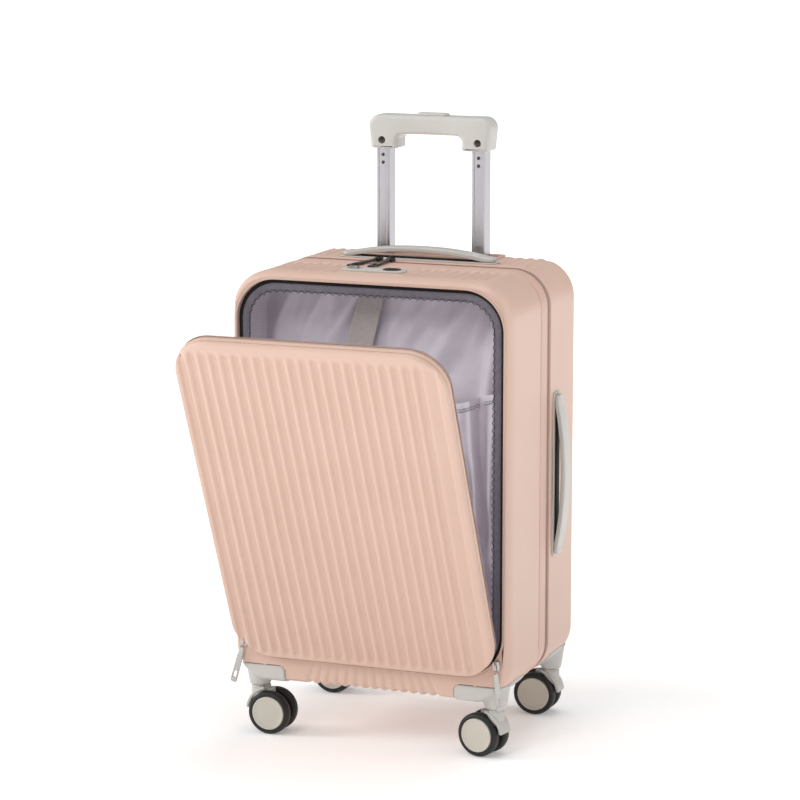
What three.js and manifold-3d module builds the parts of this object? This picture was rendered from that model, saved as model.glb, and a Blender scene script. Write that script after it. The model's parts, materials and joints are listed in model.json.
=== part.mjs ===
// Cabin suitcase with a hard shell, a laptop door in its front, a two-stage pull handle and four twin wheels.
// Millimetres, +Z up. +X is the case's right side seen from the front, and -Y is its front.
// The case frame has its origin on the floor under the middle of the shell; the group at the end moves that
// frame so that the origin is the middle of the whole object's footprint.

import * as THREE from 'three';
import { mergeVertices } from 'three/addons/utils/BufferGeometryUtils.js';
import Module from 'manifold-3d';

const wasm = await Module();
wasm.setup();

// ---- driving dimensions ----
const shellWidth = 346;
const shellDepth = 245;
const shellLow = 68;
const shellHigh = 558;
const cornerRadius = 44;
const wall = 2.5;
const gap = 0.3;

const frontEdge = { deep: 20, inset: 7.5 };
const backEdge = { deep: 22, inset: 22 };
const frontSeamY = -13;
const bandBackY = 10;
const backRimY = 19.7;

const opening = { halfX: 165, low: 101, high: 549.5, radius: 48 };
const ledge = { y: -114.6, width: 10, thick: 2.3 };

const door = { halfX: 163.7, low: 105, high: 548.2, radius: 46, back: -115.5, front: -134, edge: 5 };
const doorHinge = { y: -121.5, z: 104 };
const doorOpenAngle = 24;

const trolley = { x: 61, y: 86, tubeWide: 17, tubeDeep: 22, tubeWall: 1 };
const grip = { halfX: 80, low: 686, barLow: 703.5, high: 726, legInner: 41, depth: 34 };

const handleLength = 194;
const handleWidth = 22;
const handleRise = 11.5;
const handleY = 41;
const sideHandleZ = 311;

const lock = { x: -13, y: -71.5, halfLength: 38.5, halfWidth: 11 };
const dial = { radius: 6.5, thick: 4, pitch: 5.4, firstX: 4, z: 556.5 };

const wheel = { radius: 26, width: 12, offset: 11, trail: 17 };
const caster = { x: 150, y: 98, neckTop: 57.7, neckRadius: 10.5 };
const casterYaw = { front_left: 180, front_right: -12, rear_left: 180, rear_right: 0 };

const standCentre = { x: 6.448, y: -93.706 };

const halfWidth = shellWidth / 2;
const halfDepth = shellDepth / 2;
const radians = THREE.MathUtils.degToRad;

// ---- finishes ----
const finishes = {
  shell: { color: '#e2bfb1', roughness: 0.42, metalness: 0 },
  band: { color: '#d9b9ae', roughness: 0.5, metalness: 0 },
  trim: { color: '#d6d3cd', roughness: 0.45, metalness: 0 },
  tube: { color: '#c3bfc4', roughness: 0.3, metalness: 1 },
  tyre: { color: '#1c1b1b', roughness: 0.6, metalness: 0 },
  cap: { color: '#cdc6bf', roughness: 0.4, metalness: 0 },
  steel: { color: '#9c9a99', roughness: 0.25, metalness: 1 },
  gunmetal: { color: '#4a4644', roughness: 0.3, metalness: 1 },
  lining: { color: '#9a92a2', roughness: 0.8, metalness: 0 },
  webbing: { color: '#7f7976', roughness: 0.9, metalness: 0 },
};

const suitcase = new THREE.Group();

function add(parent, name, geometry, finish) {
  const material = new THREE.MeshStandardMaterial(finishes[finish]);
  const mesh = new THREE.Mesh(geometry, material);
  mesh.name = name;
  parent.add(mesh);
  return mesh;
}

// ---- solids: joining and cutting ----
function toSolid(geometry) {
  const bare = geometry.clone();
  bare.deleteAttribute('normal');
  bare.deleteAttribute('uv');
  const merged = mergeVertices(bare, 1e-4);
  const triVerts = new Uint32Array(merged.index.array);
  return new wasm.Manifold(new wasm.Mesh({
    numProp: 3,
    vertProperties: merged.attributes.position.array,
    triVerts,
  }));
}

function toGeometry(solid) {
  const mesh = solid.getMesh();
  const geometry = new THREE.BufferGeometry();
  geometry.setAttribute('position', new THREE.BufferAttribute(mesh.vertProperties, 3));
  geometry.setIndex(new THREE.BufferAttribute(mesh.triVerts, 1));
  geometry.computeVertexNormals();
  return geometry;
}

const join = (first, ...rest) => rest.reduce((solid, other) => solid.add(other), first);
const cut = (first, ...rest) => rest.reduce((solid, other) => solid.subtract(other), first);

// ---- simple shapes ----
function block(x0, x1, y0, y1, z0, z1) {
  const box = new THREE.BoxGeometry(x1 - x0, y1 - y0, z1 - z0);
  return box.translate((x0 + x1) / 2, (y0 + y1) / 2, (z0 + z1) / 2);
}

// A cylinder along x, y or z, centred on (x, y, z).
function rod(radius, length, axis, x, y, z, sides = 20) {
  const geometry = new THREE.CylinderGeometry(radius, radius, length, sides);
  if (axis === 'x') geometry.rotateZ(-Math.PI / 2);
  if (axis === 'z') geometry.rotateX(Math.PI / 2);
  return geometry.translate(x, y, z);
}

// A closed outline whose corners [x, y, radius] are rounded.
function softPolygon(corners) {
  const shape = new THREE.Shape();
  const count = corners.length;
  corners.forEach(([x, y, radius], i) => {
    const here = new THREE.Vector2(x, y);
    const before = new THREE.Vector2(...corners[(i + count - 1) % count]);
    const after = new THREE.Vector2(...corners[(i + 1) % count]);
    const start = here.clone().add(before.sub(here).setLength(radius));
    const end = here.clone().add(after.sub(here).setLength(radius));
    if (i === 0) shape.moveTo(start.x, start.y);
    else shape.lineTo(start.x, start.y);
    if (radius > 0) shape.quadraticCurveTo(x, y, end.x, end.y);
  });
  shape.closePath();
  return shape;
}

// Extrudes an outline drawn in X and Z along Y, from y0 to y1.
function extrudeAlongY(shape, y0, y1, curveSegments = 4) {
  const geometry = new THREE.ExtrudeGeometry(shape, { depth: y1 - y0, bevelEnabled: false, curveSegments });
  return geometry.rotateX(Math.PI / 2).translate(0, y1, 0);
}

function roundedRectangle(halfX, halfY, radius) {
  return softPolygon([
    [-halfX, -halfY, radius], [halfX, -halfY, radius], [halfX, halfY, radius], [-halfX, halfY, radius],
  ]);
}

// ---- lofts through rounded rectangles that stand in the XZ plane ----
const cornerSteps = 6;

function ring(halfX, low, high, radius, y) {
  const right = halfX - radius;
  const corners = [[right, high - radius], [-right, high - radius], [-right, low + radius], [right, low + radius]];
  const points = [];
  corners.forEach(([x, z], quarter) => {
    for (let step = 0; step <= cornerSteps; step++) {
      const angle = radians(90 * (quarter + step / cornerSteps));
      points.push([x + radius * Math.cos(angle), y, z + radius * Math.sin(angle)]);
    }
  });
  return points;
}

// The shell's own outline at a depth, moved inwards by inset.
function shellRing(inset, y) {
  const radius = Math.max(cornerRadius - inset, 3);
  return ring(halfWidth - inset, shellLow + inset, shellHigh - inset, radius, y);
}

// Skins a list of rings. The ends are capped, or joined to each other when loop is true.
function loft(rings, loop = false) {
  const count = rings[0].length;
  const positions = rings.flat(2);
  const index = [];
  const strips = loop ? rings.length : rings.length - 1;
  for (let r = 0; r < strips; r++) {
    const here = r * count;
    const next = ((r + 1) % rings.length) * count;
    for (let i = 0; i < count; i++) {
      const j = (i + 1) % count;
      index.push(here + i, here + j, next + j, here + i, next + j, next + i);
    }
  }
  if (!loop) {
    const last = (rings.length - 1) * count;
    for (let i = 1; i < count - 1; i++) {
      index.push(0, i + 1, i);
      index.push(last, last + i, last + i + 1);
    }
  }
  const geometry = new THREE.BufferGeometry();
  geometry.setAttribute('position', new THREE.Float32BufferAttribute(positions, 3));
  geometry.setIndex(volumeOf(positions, index) < 0 ? index.reverse() : index);
  geometry.computeVertexNormals();
  return geometry;
}

function volumeOf(positions, index) {
  const corner = (i) => new THREE.Vector3().fromArray(positions, 3 * index[i]);
  let sum = 0;
  for (let i = 0; i < index.length; i += 3) {
    sum += corner(i).dot(corner(i + 1).cross(corner(i + 2)));
  }
  return sum / 6;
}

// Rings that round an edge over: the outline steps in by inset while y runs from yStart to yStart + deep.
function edgeRings(makeRing, yStart, deep, inset, steps = 3) {
  const rings = [];
  for (let step = 1; step <= steps; step++) {
    const angle = (Math.PI / 2) * (step / steps);
    rings.push(makeRing(inset * (1 - Math.cos(angle)), yStart + deep * Math.sin(angle)));
  }
  return rings;
}

// The whole shell's outer volume, grown by a margin.
function shellVolume(margin) {
  const grown = (inset, y) => shellRing(inset - margin, y);
  const front = edgeRings(grown, -halfDepth - margin + frontEdge.deep, -frontEdge.deep, frontEdge.inset);
  const back = edgeRings(grown, halfDepth + margin - backEdge.deep, backEdge.deep, backEdge.inset);
  return loft([
    ...front.reverse(),
    grown(0, -halfDepth - margin + frontEdge.deep),
    grown(0, halfDepth + margin - backEdge.deep),
    ...back,
  ]);
}

// ---- front shell, zip band and back shell ----
function frontShell() {
  const openingRing = (inset, y) => ring(
    opening.halfX - inset, opening.low + inset, opening.high - inset, opening.radius - inset, y,
  );
  const skin = loft([
    shellRing(0, frontSeamY - gap),
    shellRing(0, -halfDepth + frontEdge.deep),
    ...edgeRings(shellRing, -halfDepth + frontEdge.deep, -frontEdge.deep, frontEdge.inset),
    openingRing(0, -halfDepth),
    openingRing(0, ledge.y),
    openingRing(ledge.width, ledge.y),
    openingRing(ledge.width, ledge.y + ledge.thick),
    shellRing(wall + 2, ledge.y + ledge.thick),
    shellRing(wall, -halfDepth + frontEdge.deep),
    shellRing(wall, frontSeamY - gap),
  ], true);
  const lockHole = block(lock.x - 35, lock.x + 35, lock.y - 7.5, lock.y + 7.5, shellHigh - 10, shellHigh + 10);
  return toGeometry(cut(toSolid(skin), toSolid(lockHole)));
}

function middleBand() {
  const outer = 0.6;
  const inner = 3.2;
  return loft([
    shellRing(outer, frontSeamY), shellRing(outer, bandBackY),
    shellRing(inner, bandBackY), shellRing(inner, frontSeamY),
  ], true);
}

function backShell() {
  const zipInset = 3.2;
  const flatEnd = halfDepth - backEdge.deep;
  const tray = loft([
    shellRing(backEdge.inset + wall, halfDepth - wall),
    shellRing(9, halfDepth - 9),
    shellRing(wall, flatEnd),
    shellRing(wall, backRimY + 4),
    shellRing(zipInset + 2, backRimY + 2),
    shellRing(zipInset + 2, bandBackY + gap),
    shellRing(zipInset, bandBackY + gap),
    shellRing(zipInset, backRimY),
    shellRing(0, backRimY),
    shellRing(0, flatEnd),
    ...edgeRings(shellRing, flatEnd, backEdge.deep, backEdge.inset),
  ]);
  const cup = trolleyCup();
  const slot = block(-cup.halfX - gap, cup.halfX + gap, cup.front - gap, cup.back + gap, 540, 570);
  return toGeometry(cut(toSolid(tray), toSolid(slot)));
}

// ---- laptop door, closed: its back lies just in front of the ledge ----
function frontDoor() {
  const doorRing = (inset, y) => ring(
    door.halfX - inset, door.low + inset, door.high - inset, door.radius - inset, y,
  );
  const edgeStart = door.front + door.edge;
  return loft([
    doorRing(wall + 4, door.front + wall),
    doorRing(wall, edgeStart + 1),
    doorRing(wall, door.back),
    doorRing(0, door.back),
    doorRing(0, edgeStart),
    ...edgeRings(doorRing, edgeStart, -door.edge, door.edge, 2),
  ]);
}

// ---- pull handle ----
// The cup in the shell's top that the grip sinks into.
function trolleyCup() {
  const halfY = grip.depth / 2 + 3.5;
  return { halfX: grip.halfX + 3.5, front: trolley.y - halfY, back: trolley.y + halfY, floor: 534 };
}

const outerTube = { halfX: 11.2, halfY: 13.7, low: 96 };
const stageTube = { halfX: 9.7, halfY: 12.2, low: 108, high: 534.6 };
const innerTube = { halfX: trolley.tubeWide / 2, halfY: trolley.tubeDeep / 2, low: 257, high: 700 };

function trolleyHousing() {
  const cup = trolleyCup();
  const lipTop = shellHigh + 1.8;
  const body = join(
    toSolid(block(-cup.halfX, cup.halfX, cup.front, cup.back, cup.floor - 2, lipTop)),
    toSolid(block(-cup.halfX - 3, cup.halfX + 3, cup.front - 3, cup.back + 3, shellHigh + gap, lipTop)),
    ...[-trolley.x, trolley.x].map((x) => toSolid(block(
      x - outerTube.halfX, x + outerTube.halfX,
      trolley.y - outerTube.halfY, trolley.y + outerTube.halfY, outerTube.low, cup.floor - 1,
    ))),
  );
  const hollow = toSolid(block(
    -cup.halfX + 1.5, cup.halfX - 1.5, cup.front + 1.5, cup.back - 1.5, cup.floor, lipTop + 5,
  ));
  const bores = [-trolley.x, trolley.x].map((x) => toSolid(block(
    x - stageTube.halfX - gap, x + stageTube.halfX + gap,
    trolley.y - stageTube.halfY - gap, trolley.y + stageTube.halfY + gap, outerTube.low - 5, cup.floor + 5,
  )));
  return toGeometry(cut(body, hollow, ...bores));
}

function tube(size, x) {
  const outline = roundedRectangle(size.halfX, size.halfY, 3);
  outline.holes.push(roundedRectangle(size.halfX - trolley.tubeWall, size.halfY - trolley.tubeWall, 2.2));
  const depth = size.high - size.low;
  const geometry = new THREE.ExtrudeGeometry(outline, { depth, bevelEnabled: false, curveSegments: 2 });
  return geometry.translate(x, trolley.y, size.low);
}

function gripBody() {
  const { halfX, low, barLow, high, legInner, depth } = grip;
  const bevel = 4;
  const shape = softPolygon([
    [-halfX + 3 + bevel, low + bevel, 2], [-legInner - bevel, low + bevel, 2],
    [-legInner - bevel, barLow + bevel, 6], [legInner + bevel, barLow + bevel, 6],
    [legInner + bevel, low + bevel, 2], [halfX - 3 - bevel, low + bevel, 2],
    [halfX - bevel, high - bevel, 10], [-halfX + bevel, high - bevel, 10],
  ]);
  const geometry = new THREE.ExtrudeGeometry(shape, {
    depth: depth - 2 * bevel, bevelThickness: bevel, bevelSize: bevel, bevelSegments: 2, curveSegments: 4,
  });
  geometry.rotateX(Math.PI / 2).translate(0, trolley.y + depth / 2 - bevel, 0);
  const sockets = [-trolley.x, trolley.x].map((x) => toSolid(block(
    x - innerTube.halfX - gap, x + innerTube.halfX + gap,
    trolley.y - innerTube.halfY - gap, trolley.y + innerTube.halfY + gap, low - 5, innerTube.high + gap,
  )));
  const buttonWell = toSolid(block(-19.4, 19.4, trolley.y - 8.4, trolley.y + 8.4, high - 9, high + 5));
  return toGeometry(cut(toSolid(geometry), ...sockets, buttonWell));
}

function gripButton() {
  const shape = softPolygon([
    [-19, grip.high - 5, 0.5], [19, grip.high - 5, 0.5], [19, grip.high + 3, 3], [-19, grip.high + 3, 3],
  ]);
  return extrudeAlongY(shape, trolley.y - 8, trolley.y + 8, 3);
}

// ---- carry handles: an arched bar over a thin base plate, drawn along X with the plate's underside at z = 0 ----
function carryArch() {
  const half = handleLength / 2;
  const foot = 13;
  const thick = 5;
  const underside = 2.1;
  const shape = new THREE.Shape();
  shape.moveTo(-half, underside);
  shape.lineTo(-half + foot, underside);
  shape.quadraticCurveTo(-half + 52, handleRise + 3 - thick, 0, handleRise + 3 - thick);
  shape.quadraticCurveTo(half - 52, handleRise + 3 - thick, half - foot, underside);
  shape.lineTo(half, underside);
  shape.lineTo(half, underside + thick - 1.5);
  shape.quadraticCurveTo(half - 46, handleRise + 4, 0, handleRise + 4);
  shape.quadraticCurveTo(-half + 46, handleRise + 4, -half, underside + thick - 1.5);
  return extrudeAlongY(shape, -handleWidth / 2, handleWidth / 2, 8);
}

function carryBase() {
  const half = handleLength / 2 + 2;
  const shape = roundedRectangle(half, handleWidth / 2 + 1, 5);
  const geometry = new THREE.ExtrudeGeometry(shape, { depth: 1.5, bevelEnabled: false, curveSegments: 3 });
  return geometry.translate(0, 0, gap);
}

// ---- lock on the front shell's top ----
function lockPlate() {
  const top = shellHigh + 2.8;
  const plate = roundedRectangle(lock.halfLength, lock.halfWidth, 4);
  const cover = new THREE.ExtrudeGeometry(plate, { depth: 2.5, bevelEnabled: false, curveSegments: 3 });
  cover.translate(lock.x, lock.y, shellHigh + gap);
  const housing = block(lock.x - 34.5, lock.x + 34.5, lock.y - 7.2, lock.y + 7.2, shellHigh - 11, shellHigh + 1);
  const slots = dialPlaces().map((x) => toSolid(block(
    x - dial.thick / 2 - gap, x + dial.thick / 2 + gap,
    lock.y - dial.radius - gap, lock.y + dial.radius + gap, shellHigh - 20, top + 5,
  )));
  const spindle = rod(1.2, 3 * dial.pitch, 'x', dial.firstX + dial.pitch, lock.y, dial.z, 10);
  return toGeometry(join(cut(join(toSolid(cover), toSolid(housing)), ...slots), toSolid(spindle)));
}

const dialPlaces = () => [0, 1, 2].map((i) => dial.firstX + i * dial.pitch);

function lockDial(x) {
  const wheelSolid = toSolid(rod(dial.radius, dial.thick, 'x', x, lock.y, dial.z, 20));
  return toGeometry(cut(wheelSolid, toSolid(rod(1.5, 10, 'x', x, lock.y, dial.z, 10))));
}

function lockRelease() {
  const shape = roundedRectangle(6, 4, 1.5);
  const geometry = new THREE.ExtrudeGeometry(shape, { depth: 2, bevelEnabled: false, curveSegments: 2 });
  return geometry.translate(lock.x - 26, lock.y, shellHigh + 3.1);
}

// ---- zip sliders and pulls ----
// The slider stands with its back at y = 0 and the pull's pin at the origin's height; the pull hangs from z = 0.
const pull = { length: 46, width: 8, thick: 2 };

function zipSlider() {
  const shape = softPolygon([[-4, 1.5, 1.5], [4, 1.5, 1.5], [5, 13, 2], [-5, 13, 2]]);
  return extrudeAlongY(shape, -5, 0, 2);
}

function zipPull() {
  const half = pull.width / 2;
  const shape = softPolygon([
    [-half + 1.5, 0, 1.5], [-half, -pull.length, 3], [half, -pull.length, 3], [half - 1.5, 0, 1.5],
  ]);
  shape.holes.push(softPolygon([
    [-half + 2, -pull.length + 3, 1.5], [half - 2, -pull.length + 3, 1.5],
    [half - 2.2, -pull.length + 20, 1.5], [-half + 2.2, -pull.length + 20, 1.5],
  ]));
  return extrudeAlongY(shape, -pull.thick / 2, pull.thick / 2, 2);
}

// ---- soft pieces inside the laptop compartment ----
const liner = { halfX: 160, low: 96, high: 546, radius: 42, front: -111.9, back: -60, thick: 1.5 };

function compartmentLiner() {
  const at = (inset, y) => ring(
    liner.halfX - inset, liner.low + inset, liner.high - inset, liner.radius - inset, y,
  );
  return loft([
    at(liner.thick, liner.back - liner.thick), at(liner.thick, liner.front),
    at(0, liner.front), at(0, liner.back),
  ]);
}

function sleevePocket() {
  const shape = softPolygon([[-140, 118, 20], [146, 118, 20], [146, 424, 4], [-140, 408, 4]]);
  return extrudeAlongY(shape, -69, -65, 3);
}

function retainingStrap() {
  const shape = softPolygon([[-30, 540, 1], [-65, 400, 1], [-34, 400, 1], [1, 540, 1]]);
  return extrudeAlongY(shape, -64.2, -62.4, 1);
}

// ---- corner guards and casters ----
function cornerGuard(sideX, sideY) {
  const skin = cut(toSolid(shellVolume(1.8)), toSolid(shellVolume(gap)));
  const reachX = 107;
  const reachY = 45;
  const x = [sideX * reachX, sideX * (halfWidth + 10)].sort((a, b) => a - b);
  const y = [sideY * reachY, sideY * (halfDepth + 10)].sort((a, b) => a - b);
  const region = toSolid(block(x[0], x[1], y[0], y[1], 60, 88));
  const boss = cut(
    toSolid(rod(12, 24, 'z', sideX * caster.x, sideY * caster.y, caster.neckTop + gap + 12)),
    toSolid(shellVolume(gap)),
  );
  return toGeometry(join(skin.intersect(region), boss));
}

// Caster pieces are drawn with the swivel axis on Z and the wheels trailing towards -X.
function casterFork() {
  const axleX = -wheel.trail;
  const hood = { inner: wheel.radius + 1.3, outer: wheel.radius + 5, halfY: 12 };
  const arc = new THREE.Shape();
  arc.absarc(0, 0, hood.outer, radians(12), radians(80), false);
  arc.absarc(0, 0, hood.inner - 1, radians(80), radians(12), true);
  const fender = extrudeAlongY(arc, -hood.halfY, hood.halfY, 6).translate(axleX, 0, wheel.radius);
  const neckLow = 42;
  const neckLength = caster.neckTop - neckLow;
  const neck = rod(caster.neckRadius, neckLength, 'z', 0, 0, neckLow + neckLength / 2);
  const clearance = rod(hood.inner, 60, 'y', axleX, 0, wheel.radius, 28);
  const web = softPolygon([
    [-25, 20, 5], [-14, 16, 5], [4, 26, 4], [11, 36, 3], [9, 54, 1], [-9, 55, 1], [-25, 34, 6],
  ]);
  const halfWeb = wheel.offset - wheel.width / 2 - 0.4;
  const bore = rod(3.1, 60, 'y', axleX, 0, wheel.radius, 12);
  const hooded = cut(join(toSolid(fender), toSolid(neck)), toSolid(clearance));
  return toGeometry(cut(join(hooded, toSolid(extrudeAlongY(web, -halfWeb, halfWeb, 3))), toSolid(bore)));
}

function casterAxle() {
  return rod(2.8, 30, 'y', -wheel.trail, 0, wheel.radius, 12);
}

// Wheel and cap are turned about Y, with the outer face towards +Y.
function wheelBody() {
  const r = wheel.radius;
  const half = wheel.width / 2;
  const profile = [
    [3.1, -half], [r - 3.5, -half], [r - 0.6, -half + 2], [r, -1.5], [r, 1.5], [r - 0.6, half - 2],
    [r - 3, half], [r - 5.8, half], [r - 5.8, half - 1.9], [3.1, half - 1.9], [3.1, -half],
  ];
  return new THREE.LatheGeometry(profile.map((p) => new THREE.Vector2(...p)), 20);
}

function hubCap() {
  const r = wheel.radius - 6.1;
  const half = wheel.width / 2;
  const profile = [[0, half - 1.6], [r, half - 1.6], [r, half - 0.3], [r - 1.2, half + 0.3], [0, half + 0.5]];
  return new THREE.LatheGeometry(profile.map((p) => new THREE.Vector2(...p)), 20);
}

// ---- assembly ----
add(suitcase, 'back_shell', backShell(), 'shell');
add(suitcase, 'front_shell', frontShell(), 'shell');
add(suitcase, 'middle_band', middleBand(), 'band');

const doorGroup = new THREE.Group();
doorGroup.position.set(0, doorHinge.y, doorHinge.z);
doorGroup.rotation.x = radians(doorOpenAngle);
suitcase.add(doorGroup);
add(doorGroup, 'front_door', frontDoor().translate(0, -doorHinge.y, -doorHinge.z), 'shell');

add(suitcase, 'trolley_housing', trolleyHousing(), 'trim');
for (const [side, x] of [['left', -trolley.x], ['right', trolley.x]]) {
  add(suitcase, `middle_tube_${side}`, tube(stageTube, x), 'tube');
  add(suitcase, `inner_tube_${side}`, tube(innerTube, x), 'tube');
}
add(suitcase, 'grip', gripBody(), 'trim');
add(suitcase, 'grip_button', gripButton(), 'trim');

const topHandlePlace = new THREE.Group();
topHandlePlace.position.set(0, handleY, shellHigh);
suitcase.add(topHandlePlace);
add(topHandlePlace, 'top_handle_base', carryBase(), 'trim');
add(topHandlePlace, 'top_handle', carryArch(), 'trim');

const sideHandlePlace = new THREE.Group();
sideHandlePlace.position.set(halfWidth, handleY, sideHandleZ);
sideHandlePlace.rotation.y = Math.PI / 2;
suitcase.add(sideHandlePlace);
add(sideHandlePlace, 'side_handle_base', carryBase(), 'trim');
add(sideHandlePlace, 'side_handle', carryArch(), 'trim');

add(suitcase, 'lock_plate', lockPlate(), 'trim');
dialPlaces().forEach((x, i) => add(suitcase, `lock_dial_${i + 1}`, lockDial(x), 'gunmetal'));
add(suitcase, 'lock_release', lockRelease(), 'steel');

// Main zip: two sliders side by side on the top, with their pulls lying forward to the lock.
for (const [side, x, yaw] of [['left', -44, -8], ['right', -27, 1]]) {
  const place = new THREE.Group();
  place.position.set(x, 8, shellHigh + 2.2);
  place.rotation.set(0, 0, radians(yaw));
  suitcase.add(place);
  add(place, `main_zip_slider_${side}`, zipSlider().rotateX(-Math.PI / 2).translate(0, 0, -1.8), 'gunmetal');
  add(place, `main_zip_pull_${side}`, zipPull().scale(1, 1, 1.35).rotateX(-Math.PI / 2), 'gunmetal');
}

// Door zip: a slider at each lower corner of the opening, with its pull hanging down.
for (const [side, x, z, tilt] of [['left', -160, 108, 16], ['right', 160, 108, -6]]) {
  const place = new THREE.Group();
  place.position.set(x, -halfDepth - gap, z);
  place.rotation.y = radians(tilt);
  suitcase.add(place);
  add(place, `door_zip_slider_${side}`, zipSlider(), 'steel');
  add(place, `door_zip_pull_${side}`, zipPull().translate(0, -3.5, 0), 'steel');
}

add(suitcase, 'compartment_liner', compartmentLiner(), 'lining');
add(suitcase, 'sleeve_pocket', sleevePocket(), 'lining');
add(suitcase, 'retaining_strap', retainingStrap(), 'webbing');

for (const [end, sideY] of [['front', -1], ['rear', 1]]) {
  for (const [side, sideX] of [['left', -1], ['right', 1]]) {
    const corner = `${end}_${side}`;
    add(suitcase, `corner_guard_${corner}`, cornerGuard(sideX, sideY), 'trim');
    const swivel = new THREE.Group();
    swivel.position.set(sideX * caster.x, sideY * caster.y, 0);
    swivel.rotation.z = radians(casterYaw[corner]);
    suitcase.add(swivel);
    add(swivel, `caster_fork_${corner}`, casterFork(), 'trim');
    add(swivel, `caster_axle_${corner}`, casterAxle(), 'steel');
    for (const [face, turn] of [['a', Math.PI], ['b', 0]]) {
      const hub = new THREE.Group();
      hub.position.set(-wheel.trail, turn === 0 ? wheel.offset : -wheel.offset, wheel.radius);
      hub.rotation.z = turn;
      swivel.add(hub);
      add(hub, `wheel_${corner}_${face}`, wheelBody(), 'tyre');
      add(hub, `hub_cap_${corner}_${face}`, hubCap(), 'cap');
    }
  }
}

suitcase.position.set(-standCentre.x, -standCentre.y, 0);

export default suitcase;
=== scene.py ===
import json
import math
import bpy
import numpy as np
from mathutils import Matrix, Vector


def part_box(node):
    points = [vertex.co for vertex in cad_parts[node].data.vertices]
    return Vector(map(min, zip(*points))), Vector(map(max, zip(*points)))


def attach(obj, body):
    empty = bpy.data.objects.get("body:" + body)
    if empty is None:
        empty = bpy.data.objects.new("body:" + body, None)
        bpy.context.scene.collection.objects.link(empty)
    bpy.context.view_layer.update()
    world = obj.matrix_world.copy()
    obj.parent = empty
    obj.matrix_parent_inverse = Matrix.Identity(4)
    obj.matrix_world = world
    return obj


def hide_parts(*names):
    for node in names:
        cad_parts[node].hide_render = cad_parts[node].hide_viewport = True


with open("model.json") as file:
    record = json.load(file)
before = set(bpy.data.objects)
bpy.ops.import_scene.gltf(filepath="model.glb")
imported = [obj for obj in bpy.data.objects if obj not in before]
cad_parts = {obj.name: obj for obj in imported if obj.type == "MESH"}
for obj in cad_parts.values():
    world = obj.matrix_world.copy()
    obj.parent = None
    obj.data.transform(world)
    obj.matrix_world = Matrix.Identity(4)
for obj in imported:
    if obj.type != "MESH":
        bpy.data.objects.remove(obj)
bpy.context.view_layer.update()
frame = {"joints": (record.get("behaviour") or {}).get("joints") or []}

# Pieces are worked out in millimetres, from the floor under the middle of the case: x right, y back, z up.
bandLow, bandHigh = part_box("middle_band")
bandFrontToMiddle = 0.013
caseMiddle = np.array([(bandLow.x + bandHigh.x) / 2, bandLow.y + bandFrontToMiddle, 0.0])


def toFrame(points):
    return np.asarray(points, float) / 1000 + caseMiddle


# ---- camera, lights and floor ----
view = {"azimuth": 21.6, "elevation": 10.35, "distance": 3806, "lens": 144, "target": (-9, 0, 394.3)}


def addCamera():
    turn, tilt = math.radians(view["azimuth"]), math.radians(view["elevation"])
    back = np.array([math.sin(turn) * math.cos(tilt), -math.cos(turn) * math.cos(tilt), math.sin(tilt)])
    camera = bpy.data.objects.new("camera", bpy.data.cameras.new("camera"))
    bpy.context.scene.collection.objects.link(camera)
    camera.data.lens, camera.data.sensor_width = view["lens"], 36
    camera.data.clip_end = 100
    camera.location = toFrame(np.array(view["target"]) + view["distance"] * back)
    camera.rotation_euler = (math.pi / 2 - tilt, 0, turn)
    bpy.context.scene.camera = camera


light = {
    "horizon": 0.21, "zenith": 0.48, "below": 1.05, "floorGlow": 0.22, "farGlow": 0.80, "aim": (0, 0, 0.35),
}
lamps = {
    "key": {"at": (-3.6, -1.3, 1.9), "size": 1.2, "power": 68},
    "fill": {"at": (-0.7, -3.5, 3.1), "size": 1.3, "power": 38},
    "back": {"at": (3.3, 1.2, 1.6), "size": 1.8, "power": 20},
    "top": {"at": (0.4, 0.2, 3.4), "size": 1.6, "power": 29},
}


# The world is a white room: bright below the horizon, where only the backdrop is seen, and dimmer above.
def addLights():
    world = bpy.data.worlds.new("studio")
    bpy.context.scene.world = world
    world.use_nodes = True
    tree = world.node_tree
    place = addNode(tree, "ShaderNodeTexCoord")
    up = addNode(tree, "ShaderNodeSeparateXYZ", {"Vector": place.outputs["Generated"]}).outputs["Z"]
    above = mapped(tree, up, (0.0, 0.8), (light["horizon"], light["zenith"]))
    isBelow = addNode(tree, "ShaderNodeMath", {0: up, 1: 0.0}, operation="LESS_THAN").outputs["Value"]
    strength = addNode(tree, "ShaderNodeMix", {0: isBelow, 2: above, 3: light["below"]})
    tree.links.new(strength.outputs[0], tree.nodes["Background"].inputs["Strength"])
    tree.nodes["Background"].inputs["Color"].default_value = (1, 1, 1, 1)
    for name, lamp in lamps.items():
        data = bpy.data.lights.new(name, "AREA")
        data.shape, data.size, data.energy = "SQUARE", lamp["size"], lamp["power"]
        holder = bpy.data.objects.new(name, data)
        bpy.context.scene.collection.objects.link(holder)
        holder.location = lamp["at"]
        x, y, z = np.array(light["aim"]) - np.array(lamp["at"])
        holder.rotation_euler = (math.atan2(math.hypot(x, y), -z), 0, math.atan2(y, x) - math.pi / 2)
    bpy.context.scene.view_settings.view_transform = "Standard"


# ---- materials ----
def toLinear(colour):
    parts = [int(colour[i:i + 2], 16) / 255 for i in (1, 3, 5)]
    return (*[c / 12.92 if c <= 0.04045 else ((c + 0.055) / 1.055) ** 2.4 for c in parts], 1.0)


def addNode(tree, kind, inputs=(), **settings):
    made = tree.nodes.new(kind)
    for key, value in settings.items():
        setattr(made, key, value)
    for key, value in dict(inputs).items():
        if isinstance(value, bpy.types.NodeSocket):
            tree.links.new(value, made.inputs[key])
        else:
            made.inputs[key].default_value = value
    return made


def newMaterial(name):
    material = bpy.data.materials.new(name)
    material.use_nodes = True
    tree = material.node_tree
    return material, tree, tree.nodes["Principled BSDF"], addNode(tree, "ShaderNodeTexCoord")


def perMetre(millimetres):
    return 1000 / millimetres


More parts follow.
